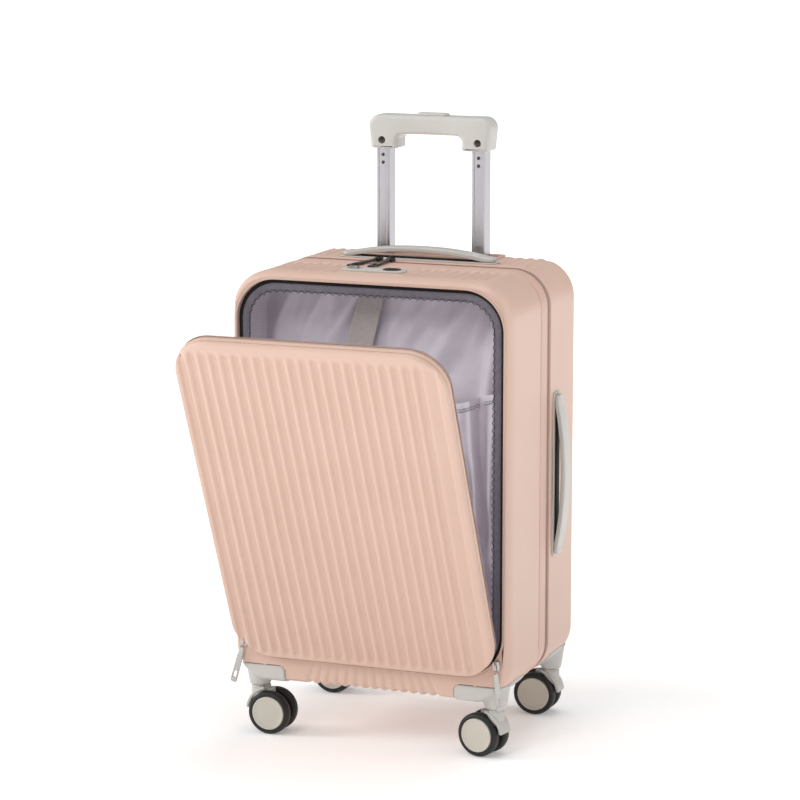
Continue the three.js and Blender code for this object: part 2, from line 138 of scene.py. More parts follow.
# Spreads a value's span onto another span.
def mapped(tree, value, given, wanted):
    return addNode(tree, "ShaderNodeMapRange", {
        "Value": value, "From Min": given[0], "From Max": given[1],
        "To Min": wanted[0], "To Max": wanted[1]}).outputs["Result"]


def noise(tree, where, size, detail):
    made = addNode(tree, "ShaderNodeTexNoise", {"Vector": where, "Scale": perMetre(size), "Detail": detail})
    return made.outputs["Fac"]


def colourBetween(tree, shader, factor, dark, bright):
    colours = {0: factor, 6: toLinear(dark), 7: toLinear(bright)}
    made = addNode(tree, "ShaderNodeMix", colours, data_type="RGBA")
    tree.links.new(made.outputs[2], shader.inputs["Base Color"])


def relief(tree, shader, height, strength, distance):
    made = addNode(tree, "ShaderNodeBump", {"Height": height, "Strength": strength, "Distance": distance})
    tree.links.new(made.outputs["Normal"], shader.inputs["Normal"])


# Moulded plastic: a satin face with the fine spark-eroded grain of the mould and slow changes of tone.
def mouldedPlastic(name, dark, bright, roughness, grain=1.1, bump=0.12, drift=90):
    material, tree, shader, place = newMaterial(name)
    fine = noise(tree, place.outputs["Object"], grain, 4)
    colourBetween(tree, shader, noise(tree, place.outputs["Object"], drift, 3), dark, bright)
    rough = mapped(tree, fine, (0.3, 0.7), (roughness - 0.05, roughness + 0.07))
    tree.links.new(rough, shader.inputs["Roughness"])
    relief(tree, shader, fine, bump, 0.0002)
    shader.inputs["IOR"].default_value = 1.5
    return material


# Metal: fine draw or polish lines stretched along z, which spread the highlight.
def finishedMetal(name, dark, bright, roughness, lines=0.5, stretch=40, bump=0.1):
    material, tree, shader, place = newMaterial(name)
    along = addNode(tree, "ShaderNodeMapping", {"Vector": place.outputs["Object"], "Scale": (1, 1, 1 / stretch)})
    drawn = noise(tree, along.outputs["Vector"], lines, 3)
    colourBetween(tree, shader, drawn, dark, bright)
    rough = mapped(tree, drawn, (0.0, 1.0), (roughness - 0.06, roughness + 0.08))
    tree.links.new(rough, shader.inputs["Roughness"])
    relief(tree, shader, drawn, bump, 0.0001)
    shader.inputs["Metallic"].default_value = 1.0
    return material


# Woven cloth: warp and weft as two crossed waves one thread apart, with a soft sheen at grazing angles.
def wovenCloth(name, dark, bright, thread, lean=0.0, roughness=0.85, bump=0.8, sheen=0.2, mottle=5):
    material, tree, shader, place = newMaterial(name)
    turned = addNode(tree, "ShaderNodeMapping", {"Vector": place.outputs["Object"], "Rotation": (0, lean, 0)})
    warp, weft = (
        addNode(tree, "ShaderNodeTexWave", {
            "Vector": turned.outputs["Vector"], "Scale": perMetre(thread) / 20 * math.pi, "Distortion": 0.6,
            "Detail": 1.0, "Detail Scale": 2.0}, bands_direction=axis).outputs["Fac"]
        for axis in ("X", "Z"))
    weave = addNode(tree, "ShaderNodeMath", {0: warp, 1: weft}, operation="MULTIPLY").outputs["Value"]
    soft = noise(tree, place.outputs["Object"], mottle, 4)
    mixed = addNode(tree, "ShaderNodeMath", {0: soft, 1: 0.7}, operation="MULTIPLY").outputs["Value"]
    both = addNode(tree, "ShaderNodeMath", {0: weave, 1: 0.45, 2: mixed}, operation="MULTIPLY_ADD")
    colourBetween(tree, shader, both.outputs["Value"], dark, bright)
    relief(tree, shader, weave, bump, 0.0003)
    shader.inputs["Roughness"].default_value = roughness
    shader.inputs["Sheen Weight"].default_value = sheen
    shader.inputs["Sheen Roughness"].default_value = 0.4
    return material


finish = {
    # polycarbonate, vacuum formed: warm satin pink with soft wide highlights
    "shell": mouldedPlastic("satin_polycarbonate_pink", "#d5b3a2", "#dcbcac", 0.42),
    # extruded frame, a touch greyer than the shells
    "band": mouldedPlastic("satin_frame_pink", "#d4ae9f", "#dbb6a8", 0.45),
    # ABS in warm light grey: handles, grip, guards and forks
    "trim": mouldedPlastic("satin_abs_light_grey", "#c2bfba", "#cbc8c3", 0.38, grain=0.9),
    # the same plastic a shade warmer: wheel discs
    "cap": mouldedPlastic("satin_abs_beige_grey", "#c5bfb3", "#cdc8bc", 0.4, grain=1.6, bump=0.2),
    # polyurethane tread: near black with a dull shine
    "tyre": mouldedPlastic("polyurethane_black", "#100f0f", "#1b1a19", 0.5, grain=1.4, bump=0.3),
    # black and matt: rubber gaskets and other black parts, and also painted shade for the black band inside the
    # opening; the brown one is painted shade, a dark brown line put in the gaps between pink parts
    "dark": mouldedPlastic("black_rubber_and_painted_shade", "#120f0d", "#1c1815", 0.75, grain=1.2, bump=0.3),
    "seam": mouldedPlastic("painted_shadow_line_brown", "#5e463b", "#6b5145", 0.7, grain=1.2, bump=0.2),
    # satin anodised aluminium: drawn lines along the tube
    "tube": finishedMetal("anodised_aluminium_satin", "#aeabb0", "#c6c3c7", 0.3),
    # nickel plate and dark nickel plate on zinc castings
    "steel": finishedMetal("nickel_plate", "#a8a5a2", "#c2bfbc", 0.22, lines=1.2, stretch=1),
    "gunmetal": finishedMetal("dark_nickel_plate", "#3d3833", "#57514b", 0.27, lines=1.4, stretch=1),
    # nylon twill lining, 0.3 mm threads drawn at 1.3 mm so that they show
    "lining": wovenCloth(
        "nylon_twill_lavender", "#c3bbc4", "#e4dde5", 1.3, lean=0.7, roughness=0.5, bump=0.25, sheen=0.35,
        mottle=26),
    # knitted tape, strap webbing and zip tape: matt, with coarse threads
    "knit": wovenCloth("knitted_tape_grey", "#5f5a63", "#858089", 1.6, lean=0.78, mottle=6),
    "webbing": wovenCloth("polyester_webbing_grey", "#a39b98", "#c6beba", 1.5, lean=0.25),
    "zipTape": wovenCloth("zip_tape_pink", "#b89a8d", "#d2b6a9", 1.4, bump=0.6),
    # moulded nylon zip coil, a little glossier than the tape
    "coil": mouldedPlastic("nylon_coil_rose", "#a3867a", "#bda196", 0.5, grain=1.0, bump=0.2),
}


# ---- surfaces ----
def gridFaces(rows, columns, closeRows=False, closeColumns=False):
    i = np.arange(rows if closeRows else rows - 1)[:, None]
    j = np.arange(columns if closeColumns else columns - 1)[None, :]
    below, right = (i + 1) % rows, (j + 1) % columns
    corners = (i * columns + j, i * columns + right, below * columns + right, below * columns + j)
    return np.stack(corners, -1).reshape(-1, 4)


# A grid of points (rows, columns, 3) as a closed skin: its columns go round, and its rows do too or end in a cap.
def skin(points, closeRows=False):
    rows, columns = points.shape[:2]
    flat = points.reshape(-1, 3)
    faces = [gridFaces(rows, columns, closeRows, True)]
    if not closeRows:
        first = np.arange(columns)
        after, last, count = (first + 1) % columns, (rows - 1) * columns, len(flat)
        flat = np.vstack([flat, points[0].mean(0), points[-1].mean(0)])
        faces.append(np.stack([after, first, np.full(columns, count)], 1))
        faces.append(np.stack([last + first, last + after, np.full(columns, count + 1)], 1))
    return flat, faces


# Two grids of the same size, one over the other, closed round their edges: a sheet with a thickness.
def slabBetween(front, back):
    rows, columns = front.shape[:2]
    count = rows * columns
    index = np.arange(count).reshape(rows, columns)
    edge = np.concatenate([index[0, :-1], index[:-1, -1], index[-1, :0:-1], index[:0:-1, 0]])
    after = np.roll(edge, -1)
    faces = [
        gridFaces(rows, columns), gridFaces(rows, columns)[:, ::-1] + count,
        np.stack([after, edge, edge + count, after + count], 1),
    ]
    return np.vstack([front.reshape(-1, 3), back.reshape(-1, 3)]), faces


def together(shapes):
    points, faces, count = [], [], 0
    for somePoints, someFaces in shapes:
        points.append(somePoints)
        faces += [f + count for f in someFaces]
        count += len(somePoints)
    return np.vstack(points), faces


def volumeOf(points, faces):
    total = 0.0
    for group in faces:
        for k in range(1, group.shape[1] - 1):
            a, b, c = (points[group[:, i]] for i in (0, k, k + 1))
            total += (a * np.cross(b, c)).sum() / 6
    return total


def addPiece(name, shape, body, finishName, sharp=40, replaces=()):
    points, faces = shape
    points = toFrame(points)
    if volumeOf(points - points.mean(0), faces) < 0:
        faces = [f[:, ::-1] for f in faces]
    sizes = np.concatenate([np.full(len(f), f.shape[1]) for f in faces])
    loops = np.concatenate([f.ravel() for f in faces])
    mesh = bpy.data.meshes.new(name)
    mesh.vertices.add(len(points))
    mesh.vertices.foreach_set("co", points.astype(np.float32).ravel())
    mesh.loops.add(len(loops))
    mesh.loops.foreach_set("vertex_index", loops.astype(np.int32))
    mesh.polygons.add(len(sizes))
    mesh.polygons.foreach_set("loop_start", (np.cumsum(sizes) - sizes).astype(np.int32))
    mesh.update(calc_edges=True)
    mesh.validate()
    mesh.shade_smooth()
    mesh.set_sharp_from_angle(angle=math.radians(sharp))
    piece = bpy.data.objects.new(name, mesh)
    bpy.context.scene.collection.objects.link(piece)
    mesh.materials.append(finish[finishName])
    if body:
        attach(piece, body)
    if replaces:
        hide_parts(*replaces)
    return piece


# Cuts other shapes out of a piece, and keeps the result as its mesh.
def carve(piece, shapes):
    for i, shape in enumerate(shapes):
        cutter = addPiece(f"{piece.name}_cutter_{i}", shape, None, "dark")
        modifier = piece.modifiers.new("cut", "BOOLEAN")
        modifier.operation, modifier.object, modifier.solver = "DIFFERENCE", cutter, "EXACT"
        bpy.context.view_layer.update()
        evaluated = piece.evaluated_get(bpy.context.evaluated_depsgraph_get())
        mesh = bpy.data.meshes.new_from_object(evaluated)
        piece.modifiers.remove(modifier)
        piece.data = mesh
        bpy.data.objects.remove(cutter)
    piece.data.set_sharp_from_angle(angle=math.radians(40))


def block(x0, x1, y0, y1, z0, z1):
    x, y, z = np.array([x0, x1, x1, x0]), np.array([y0, y0, y1, y1]), np.array([z0, z1])
    return skin(np.stack([np.tile(x, (2, 1)), np.tile(y, (2, 1)), np.repeat(z[:, None], 4, 1)], -1))


# Where the samples of a rounded rectangle sit: for each, its corner centre and its outward direction.
def outlineTemplate(alongA=(), alongB=(), arc=8):
    quarter = np.linspace(0, math.pi / 2, arc + 1)
    alongA, alongB = np.asarray(alongA, float), np.asarray(alongB, float)
    parts = []
    for k, (a, b) in enumerate(((1, 1), (-1, 1), (-1, -1), (1, -1))):
        turn = quarter + k * math.pi / 2
        parts.append(np.stack([np.full_like(turn, a), np.full_like(turn, b), np.cos(turn), np.sin(turn)], 1))
        inside = (alongA[::-1], alongB[::-1], alongA, alongB)[k]
        one = np.ones_like(inside)
        parts.append(np.stack([
            (inside, one, 0 * one, one), (-one, inside, -one, 0 * one),
            (inside, -one, 0 * one, -one), (one, inside, one, 0 * one)][k], 1))
    return np.vstack(parts)


# A template with evenly spaced samples on its straight sides too.
def evenTemplate(countA, countB, arc=12):
    return outlineTemplate(np.linspace(-1, 1, countA)[1:-1], np.linspace(-1, 1, countB)[1:-1], arc)


# Rounded rectangles in two axes, one for each row of sizes: corner centre plus radius times direction.
def outlines(template, halfA, halfB, radius):
    halfA, halfB, radius = (np.atleast_1d(np.asarray(v, float))[:, None] for v in (halfA, halfB, radius))
    return (template[:, 0] * (halfA - radius) + template[:, 2] * radius,
            template[:, 1] * (halfB - radius) + template[:, 3] * radius)


# Rows round an upright rounded rectangle (half width, bottom, top, radius): each step is (inset, y).
def uprightRows(template, outline, steps):
    halfX, low, high, radius = outline
    steps = np.array(steps, float)
    inset = steps[:, 0]
    x, z = outlines(template, halfX - inset, (high - low) / 2 - inset, radius - inset)
    return np.stack([x, np.repeat(steps[:, 1:], x.shape[1], 1), z + (high + low) / 2], -1)


# Rows round a level rounded rectangle at x and y: each step is (inset, z).
def levelRows(x, y, halfX, halfY, radius, steps, arc=6):
    steps = np.array(steps, float)
    inset = steps[:, 0]
    a, b = outlines(outlineTemplate(arc=arc), halfX - inset, halfY - inset, np.maximum(radius - inset, 0.3))
    return np.stack([x + a, y + b, np.repeat(steps[:, 1:], a.shape[1], 1)], -1)


def slab(*sizes, **more):
    return skin(levelRows(*sizes, **more))


# The last steps of a slab, which round its top edge over.
def roundedTop(edge, start, count=5):
    return [(edge * (1 - math.cos(t)), start + edge * math.sin(t)) for t in np.linspace(0, 1.5, count)]


# Turned shape: a profile of (radius, height) spun about an axis through a point.
def turned(profile, at, axis="y", count=48):
    profile = np.array(profile, float)
    angle = np.linspace(0, 2 * math.pi, count, endpoint=False)
    a, b = profile[:, :1] * np.cos(angle), profile[:, :1] * np.sin(angle)
    h = np.repeat(profile[:, 1:], count, 1)
    order = {"x": (h, a, b), "y": (b, h, a), "z": (a, b, h)}[axis]
    return skin(np.stack(order, -1) + np.array(at, float))


def smooth(t):
    t = np.clip(t, 0, 1)
    return t * t * (3 - 2 * t)


# Depth of a row of round-ended grooves: across each one the depth falls off as a power of a cosine.
# Each groove falls steeply on its left side and rises gently on its right, so the crests lean.
def grooveDepth(across, along, grooves, power=1.3, steep=0.72, gentle=1.28):
    index = np.clip(np.round((across - grooves["first"]) / grooves["pitch"]), 0, grooves["count"] - 1)
    side = across - grooves["first"] - index * grooves["pitch"]
    past = np.maximum(0, np.maximum(grooves["low"] - along, along - grooves["high"]))
    side = side / np.where(side < 0, steep, gentle)
    out = np.clip(np.hypot(side, past) / grooves["half"], 0, 1)
    return grooves["deep"] * np.cos(out * math.pi / 2) ** power


def turnAbout(points, at, angle, axis):
    points = np.asarray(points, float) - at
    c, s = math.cos(angle), math.sin(angle)
    x, y, z = points[..., 0], points[..., 1], points[..., 2]
    if axis == "x":
        x, y, z = x, c * y - s * z, s * y + c * z
    elif axis == "y":
        x, y, z = c * x + s * z, y, -s * x + c * z
    else:
        x, y, z = c * x - s * y, s * x + c * y, z
    return np.stack([x, y, z], -1) + at


def moved(shape, change):
    return change(shape[0]), shape[1]


# ---- the two shells and the band between them ----
case = {
    "halfWidth": 173.0, "halfDepth": 122.5, "low": 68.0, "high": 558.0, "corner": 44.0, "wall": 2.3,
    "frontEdge": (20.0, 7.5), "backEdge": 22.0, "opening": (165.0, 101.0, 549.5, 48.0), "ledge": -114.6,
}
caseOutline = (case["halfWidth"], case["low"], case["high"], case["corner"])


# Rows of grooves: x of the first, spacing and number; where they begin and end; their depth and half width.
def grooveRow(first, pitch, count, low, high, deep, half):
    return {"first": first, "pitch": pitch, "count": count, "low": low, "high": high, "deep": deep, "half": half}


topGrooves = grooveRow(-144.1, 12.4, 23, -88, -31, 2.4, 5.4)
bottomGrooves = grooveRow(-76.7, 12.2, 14, -119.5, -30, 3.2, 5.2)
backGrooves = grooveRow(-146.0, 13.5, 22, 42, 200, 1.4, 5.8)


# The case's outline, moved in by inset: rows are (inset, y) and columns go round the outline.
def caseRows(template, inset, y):
    inset, y = np.asarray(inset, float), np.asarray(y, float)
    middle = (case["low"] + case["high"]) / 2
    half = (case["high"] - case["low"]) / 2
    radius = np.maximum(case["corner"] - inset, 2.5)
    x, z = outlines(template, case["halfWidth"] - inset, half - inset, radius)
    return np.stack([x, np.repeat(y[:, None], x.shape[1], 1), z + middle], -1)


# Turns a profile of (inset, y) into a wall: the profile, then its offset by the wall thickness coming back.
def walled(template, profile, wall, depth=None):
    profile = np.array(profile, float)
    along = np.gradient(profile, axis=0)
    along /= np.linalg.norm(along, axis=1)[:, None]
    outward, backward = -along[:, 1], along[:, 0]
    sign = np.sign(outward[np.argmax(np.abs(outward))])
    outward, backward = outward * sign, backward * sign

    def layer(shift):
        points = caseRows(template, profile[:, 0] + shift * outward, profile[:, 1] + shift * backward)
        if depth is None:
            return points
        normal = np.stack([
            template[:, 2] * outward[:, None], np.repeat(-backward[:, None], len(template), 1),
            template[:, 3] * outward[:, None]], -1)
        return points - normal * depth(points, template)[..., None]

    return np.concatenate([layer(0.0), layer(wall)[::-1]])


def straightColumns():
    half = case["halfWidth"] - case["corner"]
    return np.linspace(-1, 1, int(2 * half / 1.5))[1:-1]


def sideColumns(step):
    half = (case["high"] - case["low"]) / 2 - case["corner"]
    return np.linspace(-1, 1, int(2 * half / step))[1:-1]


def frontShell():
    deep, inset = case["frontEdge"]
    template = outlineTemplate(straightColumns(), sideColumns(12), 36)
    turn = np.linspace(0, math.pi / 2, 12)
    start = -case["halfDepth"] + deep
    flank = [(2.2, -14.3), (1.0, -14.5), (0.3, -15.0), (0, -15.8)]
    flank += [(0, y) for y in np.arange(-16.5, start, -2.2)]
    flank += [(inset * (1 - math.cos(t)), start - deep * math.sin(t)) for t in turn]

    def depth(points, outline):
        x, y, z = np.moveaxis(points, -1, 0)
        up = np.clip(outline[:, 3], 0, 1) ** 4
        away = 1 - smooth((np.abs(x + 13.5) - 37) / 9)
        top = grooveDepth(x, y, topGrooves) * up * (1 - away)
        down = np.clip(-outline[:, 3], 0, 1) ** 4
        bottom = grooveDepth(x, y, bottomGrooves) * down * (1 - smooth((np.abs(x) - 93) / 8))
        return top + bottom

    wall = walled(template, flank, case["wall"], depth)
    ledge, behind = case["ledge"], case["ledge"] + case["wall"]
    rimRows = uprightRows(template, case["opening"], [
        (-3.4, -122.5), (-3.0, -122.05), (-2.4, -122.0), (-2.0, -122.6), (-0.9, -122.7), (-0.25, -122.3),
        (0, -121.6), (0, ledge), (10, ledge), (10, behind), (-4, behind)])
    count = len(flank)
    rows = np.concatenate([wall[:count], rimRows, wall[count:]])
    piece = addPiece("front_shell_skin", skin(rows, True), "front_half", "shell", 50, ["front_shell"])
    carve(piece, [block(-48, 22, -79, -64, 540, 570)])


def middleBand():
    template = evenTemplate(40, 60)
    profile = [
        (2.4, -12.2), (1.3, -11.9), (0.8, -11.2), (0.6, -10), (0.6, 7.2), (0.9, 8.8), (1.5, 9.6), (2.6, 9.8)]
    rows = walled(template, profile, 2.0)
    addPiece("band_skin", skin(rows, True), "front_half", "band", 50, ["middle_band"])
    # painted shade: a dark brown strip in the gap between the front shell and the band, standing for the shadow
    # in that gap
    seam = caseRows(template, [1.2, 1.2, 2.6, 2.6], [-14.5, -11.8, -11.8, -14.5])
    addPiece("band_shadow_line", skin(seam, True), "front_half", "seam", 50)


backPanel = {"inset": 25.0, "y": 122.2, "thick": 2.3, "grooved": 144}
sideRecess = {"y": 41, "z": 311, "halfStraight": 31, "radius": 9.5, "deep": 9}


def backShell():
    radius = case["backEdge"]
    template = outlineTemplate(straightColumns(), sideColumns(3.2), 36)
    flat = case["halfDepth"] - radius
    turn = np.linspace(0, math.pi / 2, 16)
    profile = [(2.4, 20.1), (0.9, 19.8), (0.25, 20.2), (0, 21.0)]
    profile += [(0, y) for y in np.arange(23.2, flat, 2.2)]
    profile += [(radius * (1 - math.cos(t)), flat + radius * math.sin(t)) for t in turn]
    profile += [(backPanel["inset"], case["halfDepth"])]

    def depth(points, outline):
        x, y, z = np.moveaxis(points, -1, 0)
        up = np.abs(outline[:, 3]) ** 4
        clear = np.where(outline[:, 3] > 0, smooth((np.abs(x) - 92) / 6), 1.0)
        grooves = grooveDepth(x, y, backGrooves) * up * clear
        # the hollow behind the side handle
        right, cup = np.clip(outline[:, 2], 0, 1) ** 4, sideRecess
        past = np.maximum(0, np.abs(z - cup["z"]) - cup["halfStraight"])
        away = np.hypot(past / cup["radius"], (y - cup["y"]) / cup["radius"])
        return grooves + cup["deep"] * right * smooth((1.25 - away) / 0.6) * (y < 60)

    rows = walled(template, profile, case["wall"], depth)
    piece = addPiece("back_shell_skin", skin(rows, True), "rear_half", "shell", 50, ["back_shell"])
    carve(piece, [block(-85, 85, 64, 108, 545, 570)])


# A rounded rectangle filled with straight columns, so that upright ribs stay straight: also how far inside
# the outline each point lies.
def columnGrid(halfX, low, high, radius, rows, step=1.4):
    turn = np.radians(np.arange(3, 90, 3.5))
    corner = halfX - radius + radius * np.cos(turn)
    even = np.linspace(-halfX, halfX, int(2 * halfX / step))
    x = np.unique(np.round(np.concatenate([even, corner, -corner]), 3))
    x = x[np.concatenate([[True], np.diff(x) > 0.25])]
    x[-1] = halfX
    rise = radius - np.sqrt(np.maximum(radius ** 2 - np.maximum(0, np.abs(x) - halfX + radius) ** 2, 0))
    edge = 1 - np.cos(np.linspace(0, math.pi / 2, 9))
    share = np.unique(np.concatenate([edge * 0.05, np.linspace(0.05, 0.95, rows), 1 - edge * 0.05]))
    z = (low + rise) + share[:, None] * (high - low - 2 * rise)
    middle, halfZ = (low + high) / 2, (high - low) / 2
    pastX = np.maximum(np.abs(x) - (halfX - radius), 0)
    pastZ = np.maximum(np.abs(z - middle) - (halfZ - radius), 0)
    fromCorner = radius - np.hypot(np.broadcast_to(pastX, z.shape), pastZ)
    fromSide = np.minimum(halfX - np.abs(x), halfZ - np.abs(z - middle))
    inside = np.where((pastX > 0) & (pastZ > 0), fromCorner, fromSide)
    return np.broadcast_to(x, z.shape), z, np.maximum(inside, 0)


# The same grid for a panel that lies inset from the outline (half width, bottom, top, radius).
def insetGrid(outline, inset, rows, step=1.4):
    halfX, low, high, radius = outline
    return columnGrid(halfX - inset, low + inset, high - inset, radius - inset, rows, step)


def backPanelPiece():
    x, z, inside = insetGrid(caseOutline, backPanel["inset"], 26)
    grooves = grooveDepth(x, z, {**backGrooves, "low": 0, "high": 700}) * (np.abs(x) < backPanel["grooved"])
    y = backPanel["y"] - 1.2 * (1 - smooth(inside / 1.5)) - grooves
    front = np.stack([x, y, z], -1)
    behind = front - np.array([0, backPanel["thick"], 0])
    addPiece("back_panel", slabBetween(front, behind), "rear_half", "shell", 50)


# ---- the laptop door, built closed and then swung out about its hinge ----
door = {
    "front": -134.0, "panelInset": 0.7, "panelEdge": 3.0, "padInset": 6,
    "rampStart": 136.0, "rampEnd": 150.8, "rampWall": 154.6, "rampDeep": 2.6,
}
doorOutline = (163.7, 105.0, 548.2, 46.0)
doorGrooves = grooveRow(-153.1, 13.54, 22, 117.5, 528.5, 3.4, 6.0)
doorJoint = next(j for j in frame["joints"] if j["name"] == "door_hinge")
doorPivot = (np.array(doorJoint["pos_m"]) - caseMiddle) * 1000
doorAngle = -math.radians(doorJoint["range_deg"][0])


def addDoorPiece(name, shape, finishName, sharp, replaces=()):
    swung = turnAbout(shape[0], doorPivot, doorAngle, "x")
    addPiece(name, (swung, shape[1]), "front_door", finishName, sharp, replaces)


# The ribbed panel: at the right its last rib falls away as a ramp that ends in a low wall.
def doorPanel():
    x, z, inside = insetGrid(doorOutline, door["panelInset"], 60)
    depth = grooveDepth(x, z, doorGrooves)
    ends = np.maximum(0, np.maximum(doorGrooves["low"] - z, z - doorGrooves["high"])) / doorGrooves["half"]
    ramp = door["rampDeep"] * np.clip((x - door["rampStart"]) / (door["rampEnd"] - door["rampStart"]), 0, 1)
    wall = 1 - smooth((x - door["rampEnd"]) / (door["rampWall"] - door["rampEnd"]))
    depth = depth + ramp * wall * smooth(1.15 - ends)
    edge = door["panelEdge"]
    over = np.clip(1 - inside / edge, 0, 1)
    y = door["front"] + depth + edge * (1 - np.sqrt(1 - over ** 2))
    behind = np.maximum(door["front"] + edge + 1.6, y + 0.4)
    shape = slabBetween(np.stack([x, y, z], -1), np.stack([x, behind, z], -1))
    addDoorPiece("door_panel", shape, "shell", 50, ["front_door"])


def frontDoor():
    doorPanel()
    rims = {
        "rim": ("shell", 60, [
            (3.4, -128.5), (1.5, -128.4), (0.45, -127.9), (0, -126.9), (0, -124.2), (0.4, -123.0), (1.4, -122.4),
            (3.4, -122.4)]),
        # painted shade: the core behind the rim is dark brown, so that it shows as the shadow in the groove
        # between rim and panel
        "core": ("seam", 40, [(2.4, -130.6), (2.4, -118.4), (6.0, -118.4), (6.0, -130.6)]),
        "zip_tape": ("zipTape", 40, [
            (1.5, -122.3), (1.3, -119.6), (1.7, -117.4), (2.3, -117.4), (2.3, -122.3)]),
    }
    for name, (finishName, sharp, steps) in rims.items():
        rows = uprightRows(evenTemplate(40, 56), doorOutline, steps)
        addDoorPiece(f"door_{name}", skin(rows, True), finishName, sharp)
    path = uprightRows(evenTemplate(60, 80), doorOutline, [(0.9, -118.6)])[0]
    addDoorPiece("door_zip_teeth", teethAlong(path, 2.2, (1.1, 2.6, 1.1)), "coil", 40)
    x, z, inside = insetGrid(doorOutline, door["padInset"], 30, 6)
    back = np.stack([x, -118.6 + 1.6 * smooth(inside / 30), z], -1)
    addDoorPiece("door_pad", slabBetween(back, back * [1, 0, 1] + [0, -129, 0]), "lining", 50)


# Small blocks along a closed upright path, one each pitch: size is (along, across, high), across is backwards.
def teethAlong(path, pitch, size, shift=0.0):
    loop = np.vstack([path, path[:1]])
    length = np.concatenate([[0], np.cumsum(np.linalg.norm(np.diff(loop, axis=0), axis=1))])
    at = np.arange(shift * pitch, length[-1] - pitch / 2, pitch)
    middle = np.stack([np.interp(at, length, loop[:, k]) for k in range(3)], -1)
    ahead = np.stack([np.interp(at + 0.5, length, loop[:, k]) for k in range(3)], -1)
    along = (ahead - middle) / np.linalg.norm(ahead - middle, axis=1)[:, None]
    across = np.array([0, 1.0, 0])
    out = np.cross(along, across)
    corners = np.array([(a, b, c) for a in (-1, 1) for b in (-1, 1) for c in (-1, 1)], float)
    corners = corners * np.array(size) / 2
    corners[corners[:, 2] > 0, :2] *= 0.7
    points = middle[:, None] + corners[:, :1] * along[:, None] + corners[:, 1:2] * across
    points = points + corners[:, 2:] * out[:, None]
    six = np.array([(0, 1, 3, 2), (4, 6, 7, 5), (0, 4, 5, 1), (2, 3, 7, 6), (0, 2, 6, 4), (1, 5, 7, 3)])
    faces = (six[None] + 8 * np.arange(len(at))[:, None, None]).reshape(-1, 4)
    return points.reshape(-1, 3), [faces]


# ---- zips of the case and of the opening ----
def mainZip():
    template = evenTemplate(60, 90)
    tapes = {
        "front": ("front_half", [(2.0, 9.9), (1.3, 10.4), (1.3, 14.6), (2.0, 14.9)], 13.9, 0.0),
        "back": ("rear_half", [(2.0, 15.1), (1.3, 15.4), (1.3, 19.9), (2.0, 20.1)], 16.1, 0.5),
    }
    for name, (body, tape, teethY, shift) in tapes.items():
        addPiece(f"main_zip_tape_{name}", skin(walled(template, tape, 1.0), True), body, "zipTape", 50)
        path = caseRows(template, [1.1], [teethY])[0]
        addPiece(f"main_zip_teeth_{name}", teethAlong(path, 2.6, (1.5, 2.4, 1.2), shift), body, "coil")


stitch = {"inset": 12.4, "y": -115.7, "step": 0.8, "length": 4.4, "wide": 3.2, "radius": 0.35}


def openingTrim():
    rows = lambda steps: uprightRows(evenTemplate(50, 70, 14), case["opening"], steps)
    # partly real, partly painted shade: a black rubber band inside the opening's lip, whose black also stands for
    # the shadow in the gap between the lip and the tape
    dark_rim_strip = [(0.1, -115.2), (0.5, -115.6), (4.4, -115.5), (4.8, -114.7), (0.1, -114.7)]
    addPiece("opening_black_band_and_shade", skin(rows(dark_rim_strip), True), "front_half", "dark", 40)
    teeth = teethAlong(rows([(3.4, -115.8)])[0], 2.2, (1.1, 1.2, 2.2))
    addPiece("opening_zip_teeth", teeth, "front_half", "dark")
    tape = [(4.4, -115.5), (5.0, -116.1), (9.0, -115.9), (13.4, -115.3), (14.0, -114.8), (13.4, -114.3),
            (9, -114.8), (4.4, -114.8)]
    addPiece("opening_knit_tape", skin(rows(tape), True), "front_half", "knit", 50)
    # zigzag stitches: a line that swings inwards and back every few millimetres
    loop = rows([(stitch["inset"], stitch["y"])])[0]
    loop = np.vstack([loop, loop[:1]])
    length = np.concatenate([[0], np.cumsum(np.linalg.norm(np.diff(loop, axis=0), axis=1))])
    at = np.arange(0, length[-1], stitch["step"])
    line = np.stack([np.interp(at, length, loop[:, k]) for k in range(3)], -1)
    _, low, high, _ = case["opening"]
    inward = np.array([0, stitch["y"], (high + low) / 2]) - line
    inward[:, 1] = 0
    inward /= np.linalg.norm(inward, axis=1)[:, None]
    line = line + inward * (np.abs((at / stitch["length"]) % 2 - 1) * stitch["wide"])[:, None]
    addPiece("opening_stitching", thread(line, stitch["radius"]), "front_half", "dark", 60)


# A thin round thread along a closed line that lies in an upright plane.
def thread(line, radius, sides=5):
    along = np.roll(line, -1, 0) - np.roll(line, 1, 0)
    along /= np.linalg.norm(along, axis=1)[:, None]
    out = np.array([0, 1.0, 0])
    side = np.cross(along, out)
    turn = np.linspace(0, 2 * math.pi, sides, endpoint=False)
    around = np.cos(turn)[None, :, None] * side[:, None] + np.sin(turn)[None, :, None] * out
    return skin(line[:, None] + radius * around, True)


# ---- laptop compartment: lining, pocket and strap ----
liner = {"front": -112.0, "back": -61.5, "deepen": 1.5}
linerOutline = (160.0, 96.0, 546.0, 42.0)
# creases of the hanging lining: middle x and z, lean from upright in degrees, length, width, depth
linerCreases = (
    (-122, 520, 30, 60, 7, 3.0), (-104, 524, 22, 52, 6, 2.4), (-84, 516, 34, 70, 9, 3.6),
    (-66, 528, 18, 40, 5, 2.2), (-48, 512, 38, 80, 9, 3.4), (22, 520, 26, 60, 8, 2.8), (44, 515, 34, 74, 9, 3.4),
    (70, 524, 24, 54, 6, 2.6), (94, 512, 36, 84, 10, 3.8), (122, 520, 20, 56, 7, 2.6), (140, 500, 12, 90, 8, 3.0),
    (-138, 470, 14, 120, 10, 3.2), (-95, 440, 40, 150, 13, 2.6), (60, 452, 42, 130, 12, 2.6),
    (128, 430, 8, 150, 9, 3.0),
)


